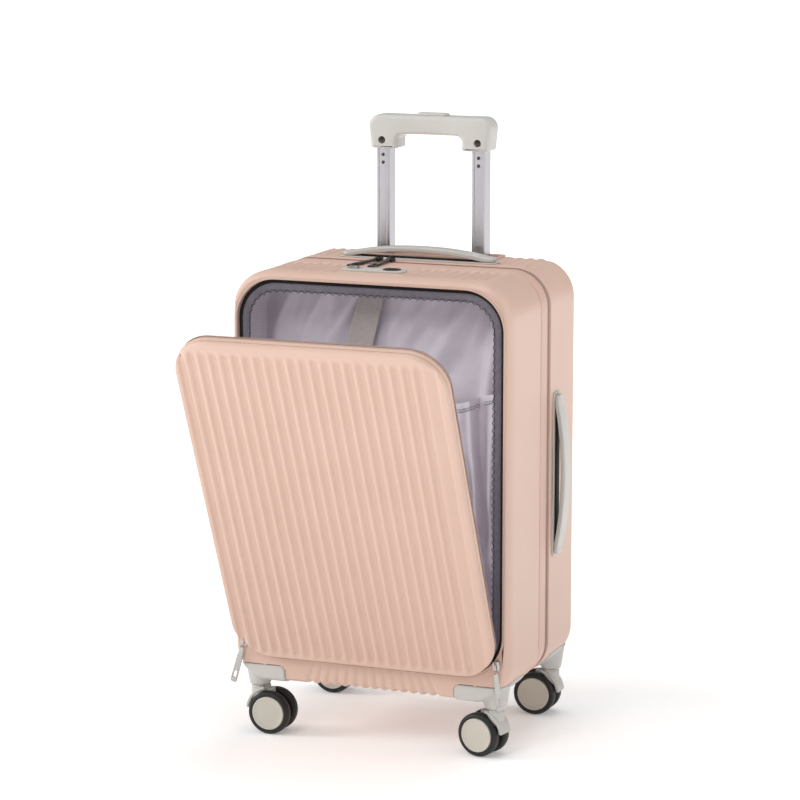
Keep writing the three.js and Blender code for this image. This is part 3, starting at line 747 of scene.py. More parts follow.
def creased(x, z, creases):
    total = 0 * x
    for middleX, middleZ, lean, length, width, deep in creases:
        c, s = math.cos(math.radians(lean)), math.sin(math.radians(lean))
        along, across = (x - middleX) * s + (z - middleZ) * c, (x - middleX) * c - (z - middleZ) * s
        reach = np.exp(-(along / length) ** 2 * 2)
        ridge, valley = np.exp(-(across / width) ** 2), np.exp(-((across - 1.6 * width) / width) ** 2)
        total = total + deep * reach * (ridge - 0.7 * valley)
    return total * liner["deepen"]


# A cloth stretched in an upright plane; its front stands at y.
def flatCloth(name, x, y, z, thick, body, sharp, replaces=()):
    face = np.stack([x, y, z], -1)
    return addPiece(name, slabBetween(face, face + np.array([0, thick, 0])), body, "lining", sharp, replaces)


def compartmentLining():
    front, back = liner["front"], liner["back"]
    sides = uprightRows(evenTemplate(60, 80), linerOutline, [
        (0, front), (0.2, -100), (1.0, -84), (1.5, -70), (3.5, -64), (7, back),
        (7, -60.5), (2, -62.6), (0.1, -70), (-0.6, -84), (-1, -100), (-1.1, front)])
    addPiece("lining_sides", skin(sides, True), "front_half", "lining", 60)
    x, z, inside = insetGrid(linerOutline, 4, 170, 2.2)
    y = back - 0.4 - creased(x, z, linerCreases) * smooth(inside / 12)
    back = flatCloth("lining_back", x, y, z, 0.5, "front_half", 70, ["compartment_liner"])


# The tray of the rear half: cloth up its sides and a flat cloth over the trolley tubes.
def rearLining():
    steps = [
        (7.6, 22.5), (7.6, 40), (7.8, 58), (9.6, 64), (14.4, 66), (14.4, 66.8), (10.4, 64.9), (8.7, 58),
        (8.5, 40), (8.4, 22.5)]
    sides = caseRows(evenTemplate(60, 80), *np.array(steps).T)
    addPiece("rear_lining_sides", skin(sides, True), "rear_half", "lining", 60)
    x, z, inside = insetGrid(caseOutline, 12, 70, 4)
    y = 65.2 - 1.2 * smooth(inside / 50) - 0.8 * np.sin(x / 31) * np.sin(z / 47) * smooth(inside / 40)
    back = flatCloth("rear_lining_back", x, y, z, 0.6, "rear_half", 60)


pocket = {
    "left": -140.0, "right": 146.0, "low": 122.0, "highLeft": 408.0, "highRight": 424.0, "y": -68.0, "hem": 9.0,
}
pocketCreases = (
    (112, 340, -3, 130, 5, 7.5), (98, 330, 6, 120, 8, 4.4), (134, 340, 3, 130, 7, 3.6),
    (84, 350, 12, 110, 9, 3.0), (56, 340, -6, 130, 11, 2.6), (20, 350, 8, 140, 10, 2.4),
    (-14, 340, -5, 120, 9, 2.6), (-52, 350, 6, 130, 11, 2.6), (-92, 340, -8, 120, 9, 3.0),
    (-122, 350, 4, 120, 8, 3.0), (96, 220, 20, 90, 9, 2.4), (120, 200, -12, 80, 8, 2.4),
)


def pocketTop(x):
    share = (x - pocket["left"]) / (pocket["right"] - pocket["left"])
    return pocket["highLeft"] + (pocket["highRight"] - pocket["highLeft"]) * smooth((share - 0.78) / 0.22)


def pocketFace(x, z):
    down = pocketTop(x) - z
    edge = np.minimum(x - pocket["left"], pocket["right"] - x)
    inside = smooth(edge / 14) * smooth((z - pocket["low"]) / 25)
    gather = 0.9 * np.sin(x / 2.9) * np.exp(-down / 26) * smooth(down / 10)
    y = pocket["y"] - (2.5 + 2.0 * np.sin(x / 23)) * inside
    return y - creased(x, z, pocketCreases) * inside - gather * inside


def sleevePocket():
    x = np.linspace(pocket["left"], pocket["right"], 300)
    share = np.unique(np.concatenate([np.linspace(0, 0.03, 6), np.linspace(0.03, 1, 150)]))[:, None]
    z = pocketTop(x) - share * (pocketTop(x) - pocket["low"])
    x = np.broadcast_to(x, z.shape)
    down = pocketTop(x) - z
    hem = 0.55 * smooth(down / 0.8) * (1 - smooth((down - pocket["hem"]) / 0.8))
    y = pocketFace(x, z)
    front, back = np.stack([x, y - hem, z], -1), np.stack([x, y + 0.6 + hem, z], -1)
    cloth = addPiece("pocket_cloth", slabBetween(front, back), "front_half", "lining", 70, ["sleeve_pocket"])
    shapes = []
    for drop in (pocket["hem"] - 1.2, pocket["hem"] + 1.6):
        at = np.arange(pocket["left"] + 4, pocket["right"] - 4, 1.1)
        z = pocketTop(at) - drop
        line = np.stack([at, pocketFace(at, z) - 0.85, z + 0.9 * (np.arange(len(at)) % 4 > 1)], -1)
        shapes.append(openThread(line, 0.3))
    addPiece("pocket_stitching", together(shapes), "front_half", "knit", 60)


# A thin round thread along an open line.
def openThread(line, radius, sides=6, out=(0, 1.0, 0)):
    along = np.gradient(line, axis=0)
    along /= np.linalg.norm(along, axis=1)[:, None]
    side = np.cross(along, np.array(out))
    side /= np.linalg.norm(side, axis=1)[:, None]
    other = np.cross(side, along)
    turn = np.linspace(0, 2 * math.pi, sides, endpoint=False)
    around = np.cos(turn)[None, :, None] * side[:, None] + np.sin(turn)[None, :, None] * other[:, None]
    return skin(line[:, None] + radius * around)


strap = {"topX": -14.5, "topZ": 541.0, "lowX": -50.5, "lowZ": 396.0, "width": 31.0, "y": -66.5, "thick": 1.6}


def retainingStrap():
    down = np.linspace(0, 1, 90)[:, None]
    across = np.array([-1, -0.97, -0.9, *np.linspace(-0.8, 0.8, 19), 0.9, 0.97, 1])[None, :]
    lean = np.array([strap["lowX"] - strap["topX"], strap["lowZ"] - strap["topZ"]])
    side = np.array([-lean[1], lean[0]]) / np.hypot(*lean)
    x = strap["topX"] + lean[0] * down + side[0] * across * strap["width"] / 2
    z = strap["topZ"] + lean[1] * down + side[1] * across * strap["width"] / 2
    sag = np.sin(down * math.pi)
    y = strap["y"] - 4.0 * sag - 1.0 * np.sin(down * 11 + across) * sag + 0 * x
    edge = 0.5 * smooth((np.abs(across) - 0.86) / 0.1) + 0 * x
    front = np.stack([x, y - strap["thick"] / 2 + edge, z], -1)
    back = np.stack([x, y + strap["thick"] / 2 - edge, z], -1)
    shape = slabBetween(front, back)
    band = addPiece("strap_webbing", shape, "front_half", "webbing", 60, ["retaining_strap"])
    shapes = []
    for share in (0.035, 0.06, 0.93, 0.97):
        row = int(share * 89)
        line = front[row, 2:-2] + np.array([0, -0.15, 0])
        shapes.append(openThread(line, 0.35))
    addPiece("strap_stitching", together(shapes), "front_half", "dark", 60)


# ---- corner guards ----
guard = {
    "reachX": 107.0, "reachY": 45.0, "top": 88.0, "margin": 1.5, "proud": 1.8, "edge": 1.7, "corner": 6.0,
    "bossRadius": 11.4, "bossLow": 58.0, "bossHigh": 92.0, "straightShare": 0.3,
}


# The right front or rear corner of the case, a little beyond the guard's rim, lifted off the shell by offset.
def guardPatch(sideY, offset):
    deep, inset = case["frontEdge"] if sideY < 0 else (case["backEdge"], case["backEdge"])
    flat = case["halfDepth"] - deep
    turn = np.linspace(0, math.pi / 2, 18)
    profile = [(0.0, y) for y in np.linspace(guard["reachY"] - guard["margin"], flat, 48)[:-1]]
    profile += [(inset * (1 - math.cos(t)), flat + deep * math.sin(t)) for t in turn]
    profile += [(i, case["halfDepth"]) for i in np.linspace(inset, 22.0, 12)[1:]] if inset < 20 else []
    profile = np.array(profile)
    along = np.gradient(profile, axis=0)
    along /= np.linalg.norm(along, axis=1)[:, None]
    outward, backward = along[:, 1:], along[:, :1]
    inset, y = profile[:, :1], profile[:, 1:]
    radius = case["corner"] - inset
    centreX, centreZ = case["halfWidth"] - case["corner"], case["low"] + case["corner"]
    share = np.linspace(0, 1, 80)[None, :]
    startX, split = guard["reachX"] - guard["margin"], guard["straightShare"]
    reach = centreX - guard["reachX"] + guard["margin"]
    most = np.arccos(np.clip((centreZ - guard["top"] - guard["margin"]) / radius, -1, 1))
    bend = np.clip((share - split) / (1 - split), 0, 1) * most
    x = np.where(share < split, startX + reach * share / split, centreX + radius * np.sin(bend))
    z = centreZ - radius * np.cos(bend)
    normalX, normalZ = np.sin(bend) * outward, -np.cos(bend) * outward
    y = y + 0 * x
    normalY = backward + 0 * x
    rim = np.stack([x - guard["reachX"], y - guard["reachY"], guard["top"] - z])
    nearest = np.sort(rim, 0)[:2]
    past = np.maximum(guard["corner"] - nearest, 0)
    inside = np.minimum(nearest[0], guard["corner"] - np.hypot(past[0], past[1]))
    normal = np.stack([normalX, normalY, normalZ], -1)
    return np.stack([x, y, z], -1) + offset(inside)[..., None] * normal, normal


def cornerGuard(corner, sideX, sideY, body):
    edge = guard["edge"]

    def proud(inside):
        over = np.clip(1 - inside / edge, 0, 1)
        rounded = guard["proud"] - edge * (1 - np.sqrt(1 - over ** 2))
        return np.where(inside > 0, rounded, np.maximum(guard["proud"] - edge + 2.0 * inside, -0.8))

    points, normal = guardPatch(sideY, proud)
    inner = points - 3.2 * normal
    # the boss over the caster's bearing: the underside is drawn down to one level there
    away = np.hypot(points[..., 0] - wheel["x"], points[..., 1] - wheel["y"])
    boss = 1 - smooth((away - guard["bossRadius"]) / 5.5)
    boss = np.where(points[..., 2] < guard["bossHigh"], boss, 0)
    outer = points.copy()
    outer[..., 2] = points[..., 2] * (1 - boss) + guard["bossLow"] * boss
    mirror = np.array([sideX, sideY, 1])
    cover = slabBetween(outer * mirror, inner * mirror)
    addPiece(f"guard_{corner}", cover, body, "trim", 50, [f"corner_guard_{corner}"])
    # painted shade: a thin dark brown strip just beyond the guard's rim, standing for the shadow line between
    # guard and shell
    points, normal = guardPatch(sideY, lambda inside: np.where(inside > -0.75, 0.22, -0.7))
    dark_rim_strip = slabBetween(points * mirror, (points - 1.8 * normal) * mirror)
    addPiece(f"guard_gasket_{corner}", dark_rim_strip, body, "seam", 50)


# ---- casters ----
wheel = {
    "x": 150, "y": 98, "radius": 26.0, "offset": 11.0, "trail": 17.0,
    "yaw": {"front_left": 180, "front_right": -12, "rear_left": 180, "rear_right": 0},
}


# A flat piece standing in x and z between two lines of points, rounded along its edges and at its ends.
def bladed(inner, outer, half, edge, endEdge):
    inner, outer = np.asarray(inner, float), np.asarray(outer, float)
    half = np.broadcast_to(np.asarray(half, float), (len(inner),))
    template = outlineTemplate(arc=5)

    # one ring of the piece, made smaller by shrink and moved along it by shift
    def station(k, shrink=0.0, shift=0.0):
        across = outer[k] - inner[k]
        length = np.linalg.norm(across)
        r = max(min(edge, length / 2, half[k]) - shrink, 0.05)
        a, b = outlines(template, length / 2 - shrink, half[k] - shrink, r)
        place = (inner[k] + outer[k]) / 2 + shift + a[0][:, None] * (across / length)
        return np.stack([place[:, 0], b[0], place[:, 1]], -1)

    def roundedEnd(k, step):
        away = inner[k] - inner[k + step] + outer[k] - outer[k + step]
        away = away / np.linalg.norm(away)
        return [station(k, endEdge * (1 - math.cos(t)), away * (endEdge * math.sin(t) - endEdge))
                for t in np.linspace(0, math.pi / 2, 5)]

    middle = [station(k) for k in range(1, len(inner) - 1)]
    return skin(np.array([*roundedEnd(0, 1)[::-1], *middle, *roundedEnd(-1, -1)]))


def arcLine(centre, radius, start, stop, count):
    angle = np.radians(np.linspace(start, stop, count))
    return np.stack([centre[0] + radius * np.cos(angle), centre[1] + radius * np.sin(angle)], 1)


def caster(corner, sideX, sideY):
    at = np.array([wheel["x"] * sideX, wheel["y"] * sideY, 0.0])
    yaw = math.radians(wheel["yaw"][corner])
    hub = np.array([-wheel["trail"], wheel["radius"]])
    spot = (hub[0], 0, hub[1])
    body = f"caster_{corner}"

    def add(name, shape, rides, finishName, sharp, replaced):
        placed = turnAbout(shape[0], np.zeros(3), yaw, "z") + at
        addPiece(name, (placed, shape[1]), rides, finishName, sharp, [replaced])

    neck = turned([(9.0, 57.5), (9.9, 57.3), (10.2, 56.8), (9.6, 56.2), (9.5, 55.2), (10.2, 54.6), (10.6, 50),
                   (11.6, 44), (13.2, 38.5)], (0, 0, 0), "z")
    # below the collar the neck leans over towards the wheels
    neck[0][:, 0] -= 4.5 * np.clip((52 - neck[0][:, 2]) / 14, 0, 1) ** 1.5
    hood = bladed(arcLine(hub, 27.4, 6, 76, 40), arcLine(hub, 31.4, 6, 76, 40), 11.4, 1.8, 1.8)
    rim = np.vstack([arcLine(hub, 9.5, 150, 96, 10), arcLine(hub, 28.5, 92, 12, 20)])
    web = bladed(arcLine(hub, 5.5, 190, 20, 30), rim, 4.3, 1.2, 1.2)
    cap = turned([(0.4, -4.4), (6.2, -4.4), (6.8, -3.8), (6.8, 3.8), (6.2, 4.4), (0.4, 4.4)], spot, "y", 32)
    add(f"fork_{corner}", together([neck, hood, web, cap]), body, "trim", 45, f"caster_fork_{corner}")
    axle = turned([(0.3, -15), (2.4, -15), (2.8, -14.6), (2.8, 14.6), (2.4, 15), (0.3, 15)], spot, "y", 28)
    add(f"axle_{corner}", axle, body, "steel", 40, f"caster_axle_{corner}")
    tread = [
        (3.2, -5.2), (17.5, -5.2), (18.2, -5.9), (22.6, -6.0), (24.6, -5.3), (25.6, -3.9), (26.0, -2.0),
        (26.0, 2.0), (25.6, 3.9), (24.6, 5.3), (22.6, 6.0), (20.9, 6.05), (20.5, 5.6), (20.4, 4.4), (3.2, 4.4)]
    cover = [
        (0.3, 4.2), (20.1, 4.2), (20.1, 5.9), (19.8, 6.35), (19.0, 6.6), (18.0, 6.45), (17.2, 6.15),
        (12, 6.2), (0.3, 6.5)]
    for face, side in (("a", -1), ("b", 1)):
        spot = (hub[0], side * wheel["offset"], hub[1])
        rides = f"wheel_{corner}_{face}"
        for name, profile, finishName, replaced in (
                ("tread", tread, "tyre", rides), ("cap", cover, "cap", f"hub_cap_{corner}_{face}")):
            disc = turned([(r, h * side) for r, h in profile], spot, "y", 72)
            add(f"{name}_{corner}_{face}", disc, rides, finishName, 40, replaced)


# ---- trolley: tubes, grip, button and the cup they stand in ----
trolley = {"x": 61.0, "y": 86.0}


def bentLine(points, radii, arc=6):
    points = np.asarray(points, float)
    made = [points[:1]]
    for k in range(1, len(points) - 1):
        a, b = points[k - 1] - points[k], points[k + 1] - points[k]
        a, b = a / np.linalg.norm(a), b / np.linalg.norm(b)
        half = math.acos(np.clip(a @ b, -1, 1)) / 2
        reach = radii[k - 1] / math.tan(half)
        t = np.linspace(0, 1, arc)[:, None]
        start, stop = points[k] + a * reach, points[k] + b * reach
        centre = points[k] + (a + b) / np.linalg.norm(a + b) * radii[k - 1] / math.sin(half)
        u, v = start - centre, stop - centre
        swing = math.acos(np.clip(u @ v / radii[k - 1] ** 2, -1, 1))
        made.append(centre + (np.sin((1 - t) * swing) * u + np.sin(t * swing) * v) / math.sin(swing))
    made.append(points[-1:])
    return np.vstack(made)


def resampled(line, count):
    length = np.concatenate([[0], np.cumsum(np.linalg.norm(np.diff(line, axis=0), axis=1))])
    at = np.linspace(0, length[-1], count)
    return np.stack([np.interp(at, length, line[:, k]) for k in range(line.shape[1])], -1)


def tubeShape(halfX, halfY, low, high, x, groove=0.5):
    template = outlineTemplate(np.linspace(-1, 1, 24)[1:-1], np.linspace(-1, 1, 28)[1:-1], 6)
    z = np.array([low, low + 0.3, high - 0.3, high])
    shrink = np.array([0.3, 0, 0, 0.3])
    a, b = outlines(template, halfX - shrink, halfY - shrink, 2.6)
    # two shallow drawn grooves run up each of the front and back faces
    away = np.abs(np.abs(template[:, 0]) * halfX - (halfX - 2.4))
    dip = groove * np.clip(1 - away / 0.7, 0, 1) * (np.abs(template[:, 3]) == 1)
    b = b - np.sign(template[:, 3]) * dip
    return skin(np.stack([x + a, trolley["y"] + b, np.repeat(z[:, None], a.shape[1], 1)], -1))


def trolleyParts():
    y = trolley["y"]
    ring = [
        (0.4, 533), (0, 533.3), (0, 534.1), (0.4, 534.55), (1.0, 534.7), (2.0, 534.7), (2.35, 534.5), (2.35, 533)]
    rivet = [(0.2, -0.3), (2.1, -0.3), (2.1, 0.25), (1.5, 0.8), (0.2, 1.0)]
    for side, x in (("left", -trolley["x"]), ("right", trolley["x"])):
        addPiece(f"outer_tube_{side}", tubeShape(11.2, 13.7, 96, 533, x, 0), "rear_half", "tube", 40)
        for stage, body, shape, replaced in (
                ("stage", "trolley_stage", tubeShape(9.7, 12.2, 108, 534.6, x), "middle"),
                ("grip", "trolley_grip", tubeShape(8.5, 11, 262, 698, x), "inner")):
            addPiece(f"{stage}_tube_{side}", shape, body, "tube", 40, [f"{replaced}_tube_{side}"])
        # a thin plastic ring round the mouth of the outer tube
        collar = skin(levelRows(x, y, 12.4, 14.9, 4.4, ring, 8), True)
        addPiece(f"tube_collar_{side}", collar, "rear_half", "dark", 40)
        rivets = [turned([(r, -h) for r, h in rivet], (x + 0.5, y - 11, z), "y", 24) for z in (678.0, 668.6)]
        addPiece(f"tube_rivets_{side}", together(rivets), "trolley_grip", "gunmetal", 40)


grip = {"halfX": 79.0, "taper": 4.2, "low": 686.0, "barLow": 703.5, "high": 726.0, "leg": 41.0, "screwZ": 696}


# The grip's inner and outer lines go up the left leg, round its corner, along the bar and down again.
def gripShape():
    leg, low, halfX, foot = grip["leg"], grip["low"], grip["halfX"], grip["halfX"] - grip["taper"]
    inner = bentLine([(-leg, low), (-leg, grip["barLow"]), (leg, grip["barLow"]), (leg, low)], [8, 8], 12)
    outer = bentLine([(-foot, low), (-halfX, grip["high"]), (halfX, grip["high"]), (foot, low)], [13, 13], 14)
    leftIn = np.vstack([resampled(inner[:2], 8)[:-1], inner[1:13]])
    leftOut = resampled(outer[:15], len(leftIn))
    spread = np.linspace(0, 1, 60)[1:-1, None]

    def whole(left):
        across = left[-1] + (left[-1] * [-1, 1] - left[-1]) * spread
        return np.vstack([left, across, left[::-1] * [-1, 1]])

    inLine, outLine = whole(leftIn), whole(leftOut)
    middle = (inLine[:, 0] + outLine[:, 0]) / 2
    half = 17 - 2.2 * (1 - smooth((np.abs(middle) - 14) / 42))
    return moved(bladed(inLine, outLine, half, 5.5, 2.6), lambda p: p + [0, trolley["y"], 0])


def gripParts():
    y, screwZ = trolley["y"], grip["screwZ"]
    piece = addPiece("grip_body", gripShape(), "trolley_grip", "trim", 45, ["grip"])
    screwAt = {"left": 1 - trolley["x"], "right": 1 + trolley["x"]}
    well = [(0.2, -25), (4.6, -25), (4.6, -14.8), (0.2, -14.8)]
    carve(piece, [block(-19.5, 19.5, y - 8.5, y + 8.5, 717, 740)]
          + [turned(well, (x, y, screwZ), "y", 32) for x in screwAt.values()])
    face = y - 15.3
    for side, x in screwAt.items():
        head = [(0.2, 1.2), (4.0, 1.2), (4.0, 0.1), (3.4, -0.8), (0.2, -1.2)]
        head = turned(head, (x, face, screwZ), "y", 32)
        screw = addPiece(f"grip_screw_{side}", head, "trolley_grip", "gunmetal", 40)
        carve(screw, [block(x - halfX, x + halfX, face - 3, face - 0.3, screwZ - halfZ, screwZ + halfZ)
                      for halfX, halfZ in ((2.4, 0.5), (0.5, 2.4))])
    button = slab(0, y, 19, 8, 4.5, [(0, 720.5)] + roundedTop(1.8, 727.2, 6), arc=8)
    addPiece("button_cap", button, "grip_button", "trim", 45, ["grip_button"])


def trolleyCup():
    rim = np.array([
        (-3, 558.3), (-3, 559.2), (-2.4, 559.8), (0.6, 559.8), (1.2, 559.3), (1.5, 558.6), (1.5, 535),
        (2.5, 534), (2.5, 532), (0, 532), (0, 557.6), (-1, 558.3)])
    wall = skin(levelRows(0, trolley["y"], 83.5, 20.5, 5, rim), True)
    floor = slab(0, trolley["y"], 82.5, 19.5, 4, [(0, 532.2), (0, 534.4)])
    addPiece("trolley_cup", together([wall, floor]), "rear_half", "shell", 45, ["trolley_housing"])


# ---- carry handles: drawn along x with the base at z = 0, then put in place ----
handle = {
    "half": 97.0, "foot": 13.0, "width": 22.0, "rise": 11.5, "thick": 6.0, "under": 2.1,
    "tipShare": 0.095, "tipRound": 8.0, "waist": 0.06, "linkX": 80, "pinX": 89.5,
}


# The arch lies between two lines that rise from foot to middle as quadratic curves; its foot has a round tip.
def handleArch():
    half, under, rise = handle["half"], handle["under"], handle["rise"]
    t = np.linspace(0, 1, 40)[:, None]

    def curve(*points):
        a, b, c = np.array(points, float)
        return (1 - t) ** 2 * a + 2 * t * (1 - t) * b + t ** 2 * c

    foot = (handle["foot"] - half, under)
    low = curve(foot, (52 - half, rise - 2), (0, rise - 2))
    low = np.vstack([resampled(np.array([(-half, under), foot]), 16)[:-1], low])
    top = rise - 2 + handle["thick"]
    high = curve((12 - half, under + 5.2), (50 - half, top), (0, top))
    high = resampled(np.vstack([[(-half, under + 4.6)], high]), len(low))
    low, high = (np.vstack([line, line[-2::-1] * [-1, 1]]) for line in (low, high))
    away = np.abs((low[:, 0] + high[:, 0]) / 2) / half
    tip = np.clip((away - 1 + handle["tipShare"]) / handle["tipShare"], 0, 1)
    width = handle["width"] / 2 * (1 - handle["waist"] * (1 - smooth(away / 0.5)))
    return bladed(low, high, width - handle["tipRound"] * (1 - np.sqrt(1 - 0.98 * tip ** 2)), 2.3, 1.6)


def carryHandle(name, place):
    moving, base, ends = f"{name}_handle", "rear_half", (-1, 1)
    addPiece(f"{name}_arch", moved(handleArch(), place), moving, "trim", 45, [moving])
    plate = slab(0, 0, 99, 12, 5, [(0.3, 0.1)] + roundedTop(0.9, 0.9))
    addPiece(f"{name}_plate", moved(plate, place), base, "trim", 45, [f"{moving}_base"])
    # partly painted shade: a black strip on the plate under the arch, for a dark recess there and for the shadow
    # the arch casts on it
    inlay_and_shade = slab(0, 0, 90, 8.2, 4, [(0.2, 1.2), (0, 1.7), (0.4, 2.05)])
    addPiece(f"{name}_inlay", moved(inlay_and_shade, place), base, "dark", 45)
    # dark steel links that the arch lifts on, seen in the gap at each end; their dark colour is also painted
    # shade, standing for the shadow in that gap
    x = handle["linkX"]
    links = together([block(sign * x - 5, sign * x + 5, -5.5, 5.5, 1.6, 4.4) for sign in ends])
    addPiece(f"{name}_links", moved(links, place), base, "gunmetal", 45)
    pin, z = [(0.2, 0), (1.3, 0), (1.3, 0.5), (0.2, 0.6)], handle["under"] + 4.4
    x = handle["pinX"]
    pins = together([turned(pin, (sign * x, y, z), "z", 20) for sign in ends for y in (-4.5, 4.5)])
    addPiece(f"{name}_pins", moved(pins, place), moving, "dark", 45)


# ---- lock ----
lock = {
    "x": -13.0, "y": -71.5, "half": 38.5, "wide": 11.0, "top": 560.8, "windowX": 9.4,
    "dialX": (4.0, 9.4, 14.8), "dialZ": 556.5, "knurls": 20, "knurlDeep": 0.28,
}


def lockParts():
    x, y, windowX = lock["x"], lock["y"], lock["windowX"]
    steps = [(0.2, 547.5), (0, 558.4)] + roundedTop(1.3, lock["top"] - 1.3, 6)
    plate = slab(x, y, lock["half"], lock["wide"], 4.5, steps, arc=8)
    # below the shell the plate narrows to a body that passes through it
    points, centre = plate[0], [x, y, 0]
    below = points[:, 2] < case["high"]
    points[below] = (points[below] - centre) * [0.88, 0.62, 1] + centre
    piece = addPiece("lock_cover", plate, "front_half", "trim", 45, ["lock_plate"])
    carve(piece, [slab(windowX, y, 9.2, 7.4, 3, [(0, 549), (0, 565)]),
                  slab(x - 24, y, 9, 4.6, 2, [(0, 559.7), (0, 565)])])
    window = slab(windowX, y, 8.9, 7.1, 2.8, [(0, 548.5), (0, 557.2)])
    addPiece("lock_window", window, "front_half", "dark", 45)
    rim = [
        (-1.6, 560.2), (-1.4, 561.3), (-0.7, 561.9), (0.2, 561.9), (0.5, 561.2), (0.5, 558.4), (-0.4, 557.8)]
    bezel = skin(levelRows(windowX, y, 9.2, 7.4, 6.5, rim, 8), True)
    addPiece("lock_bezel", bezel, "front_half", "gunmetal", 45)
    angle = np.linspace(0, 2 * math.pi, 120, endpoint=False)
    knurl = lock["knurlDeep"] * np.abs(np.cos(angle * lock["knurls"] / 2)) ** 0.5
    profile = [
        (0.2, -1.95), (5.6, -1.95), (6.1, -1.6), (6.3, -1.0), (6.3, 1.0), (6.1, 1.6), (5.6, 1.95), (0.2, 1.95)]
    rings = []
    for radius, across in profile:
        cut = radius - knurl * (radius > 5.9)
        rings.append(np.stack([np.full(120, across), cut * np.cos(angle), cut * np.sin(angle)], -1))
    for i, dialX in enumerate(lock["dialX"], 1):
        dial = moved(skin(np.array(rings)), lambda p: p + [dialX, y, lock["dialZ"]])
        addPiece(f"dial_{i}", dial, f"lock_dial_{i}", "gunmetal", 35, [f"lock_dial_{i}"])
    slide = slab(x - 26, y, 6, 4, 1.6, [(0.3, 560.2), (0, 560.9)] + roundedTop(0.7, 562.4))
    addPiece("release_slide", slide, "lock_release", "steel", 45, ["lock_release"])


# ---- zip sliders and pulls, drawn standing with the pin at the origin and the pull hanging ----
def zipSliderShape():
    right = np.array([(4, 1.6), (4.6, 6), (5, 11), (4.2, 13.2)])
    body = moved(bladed(right * [-1, 1], right, 1.6, 1.0, 0.8), lambda p: p + [0, -1.6, 0])
    u = np.linspace(0, math.pi, 16)
    bridge = np.stack([0 * u, -2.4 - 2.6 * np.sin(u), 7.6 - 6.0 * np.cos(u) * 0.9], 1)
    return together([body, openThread(bridge, 1.0, 10, (1.0, 0, 0))])


def zipPullShape(stretch, long=46.0):
    outer = [(-2.4, -0.2), (-2.9, -4), (-3.7, -14), (-4, -30), (-4, 2.5 - long), (-3.2, 0.6 - long)]
    outer = resampled(np.array(outer), 30)
    rail, middle = outer[7:-3], resampled(np.array([(-1.8, -9), (-1.9, -31)]), 9)
    flip = [-1, 1]
    parts = (
        (outer[:9], outer[:9] * flip, 1.1, 0.7, 0.6), (outer[-5:], outer[-5:] * flip, 1.1, 0.7, 0.8),
        (rail, rail + [2.3, 0], 1.1, 0.7, 0.4), (rail * flip, rail * flip - [2.3, 0], 1.1, 0.7, 0.4),
        (middle, middle * flip, 0.9, 0.4, 0.4))
    return moved(together([bladed(*part) for part in parts]), lambda p: p * [1, 1, stretch])


# The case's sliders and pulls lie on its top; the door's hang at the bottom corners of the opening.
zips = {
    "case": {"z": case["high"] + 2.2, "y": 8, "left": {"x": -44, "turn": -8}, "right": {"x": -27, "turn": 1}},
    "flap": {
        "z": 108, "y": -case["halfDepth"] - 0.3, "left": {"x": -160, "turn": 16, "twist": 0, "out": 3.5},
        # the right pull has twisted on its ring, and hangs nearly edge-on
        "right": {"x": 160, "turn": -6, "twist": 62, "out": 5.0},
    },
}


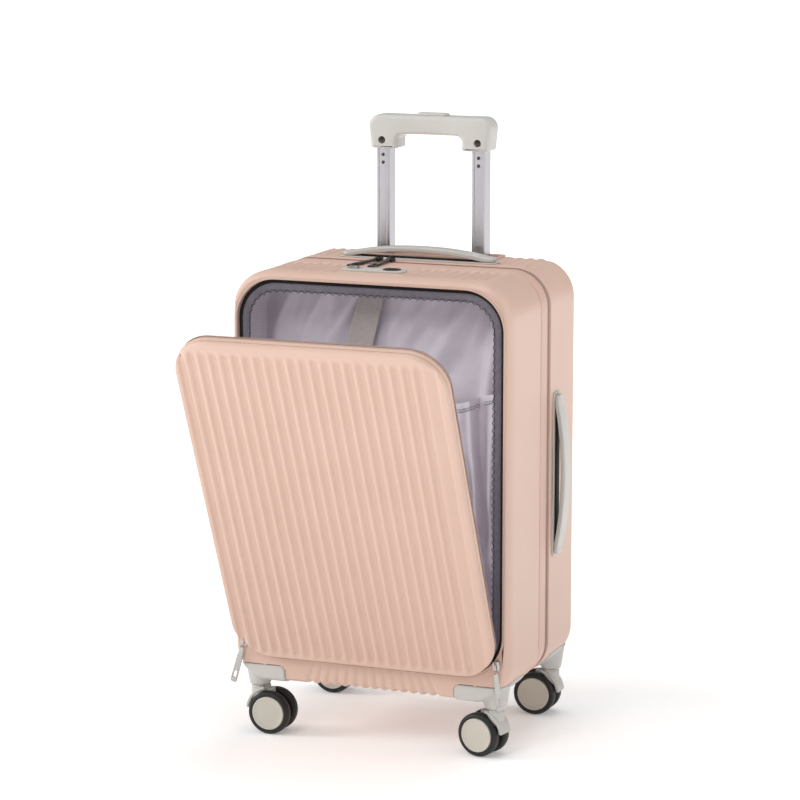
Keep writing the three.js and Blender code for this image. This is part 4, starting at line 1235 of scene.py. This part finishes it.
def zipHardware():
    def addPair(kind, node, side, finishName, slider, pull):
        for part, shape, body in (("slider", slider, "front_half"), ("pull", pull, f"{node}_pull_{side}")):
            addPiece(f"{kind}_{part}_{side}", shape, body, finishName, 45, [f"{node}_{part}_{side}"])

    centre = np.zeros(3)
    for side in ("left", "right"):
        one = zips["case"][side]
        at = [one["x"], zips["case"]["y"], zips["case"]["z"]]

        def lying(points):
            points = turnAbout(points, centre, -math.pi / 2, "x")
            return turnAbout(points, centre, math.radians(one["turn"]), "z") + at

        slider = moved(zipSliderShape(), lambda p: lying(p + [0, 1.8, 0]))
        addPair("case", "main_zip", side, "gunmetal", slider, moved(zipPullShape(1.35), lying))
    for side in ("left", "right"):
        one = zips["flap"][side]
        at, twist = [one["x"], zips["flap"]["y"], zips["flap"]["z"]], math.radians(one["twist"])

        def standing(points):
            return turnAbout(points, centre, math.radians(one["turn"]), "y") + at

        pull = moved(zipPullShape(1.0), lambda p: standing(turnAbout(p, centre, twist, "z") - [0, one["out"], 0]))
        addPair("flap", "door_zip", side, "steel", moved(zipSliderShape(), standing), pull)


# ---- floor ----
floorSize = {"left": -6, "right": 6, "near": -5, "far": 9, "glowFrom": 0.45, "glowTo": 1.5}


# A white floor that glows: painted light in its emission, weak near the case and rising away from it, so that it
# reads as a lit white backdrop.
def addFloor():
    material, tree, shader, place = newMaterial("glowing_white_floor")
    soft = noise(tree, place.outputs["Object"], 1000 / 3, 3)
    colourBetween(tree, shader, soft, "#fbfbfb", "#ffffff")
    shader.inputs["Roughness"].default_value = 0.9
    # painted light: the floor's emission, weaker near the case and stronger further off
    shader.inputs["Emission Color"].default_value = (1, 1, 1, 1)
    away = addNode(tree, "ShaderNodeVectorMath", {0: place.outputs["Object"]}, operation="LENGTH")
    span = (floorSize["glowFrom"], floorSize["glowTo"])
    glow = mapped(tree, away.outputs["Value"], span, (light["floorGlow"], light["farGlow"]))
    tree.links.new(glow, shader.inputs["Emission Strength"])
    mesh = bpy.data.meshes.new("floor")
    left, right, near, far = (floorSize[key] for key in ("left", "right", "near", "far"))
    mesh.from_pydata([(left, near, 0), (right, near, 0), (right, far, 0), (left, far, 0)], [], [(0, 1, 2, 3)])
    floor = bpy.data.objects.new("floor", mesh)
    bpy.context.scene.collection.objects.link(floor)
    mesh.materials.append(material)


print("stage: helpers ready")
addCamera()
addLights()
addFloor()
frontShell()
middleBand()
backShell()
backPanelPiece()
frontDoor()
mainZip()
openingTrim()
print("stage: shells and door")
compartmentLining()
sleevePocket()
rearLining()
retainingStrap()
print("stage: compartment")
for end, sideY, half in (("front", -1, "front_half"), ("rear", 1, "rear_half")):
    for side, sideX in (("left", -1), ("right", 1)):
        cornerGuard(f"{end}_{side}", sideX, sideY, half)
        caster(f"{end}_{side}", sideX, sideY)
print("stage: guards and casters")
trolleyParts()
gripParts()
trolleyCup()
sideAt = [case["halfWidth"], sideRecess["y"], sideRecess["z"]]
carryHandle("top", lambda p: p + [0, sideRecess["y"], case["high"]])
carryHandle("side", lambda p: turnAbout(p, np.zeros(3), math.pi / 2, "y") + sideAt)
lockParts()
zipHardware()
print("stage: trolley, handles, lock and zips")
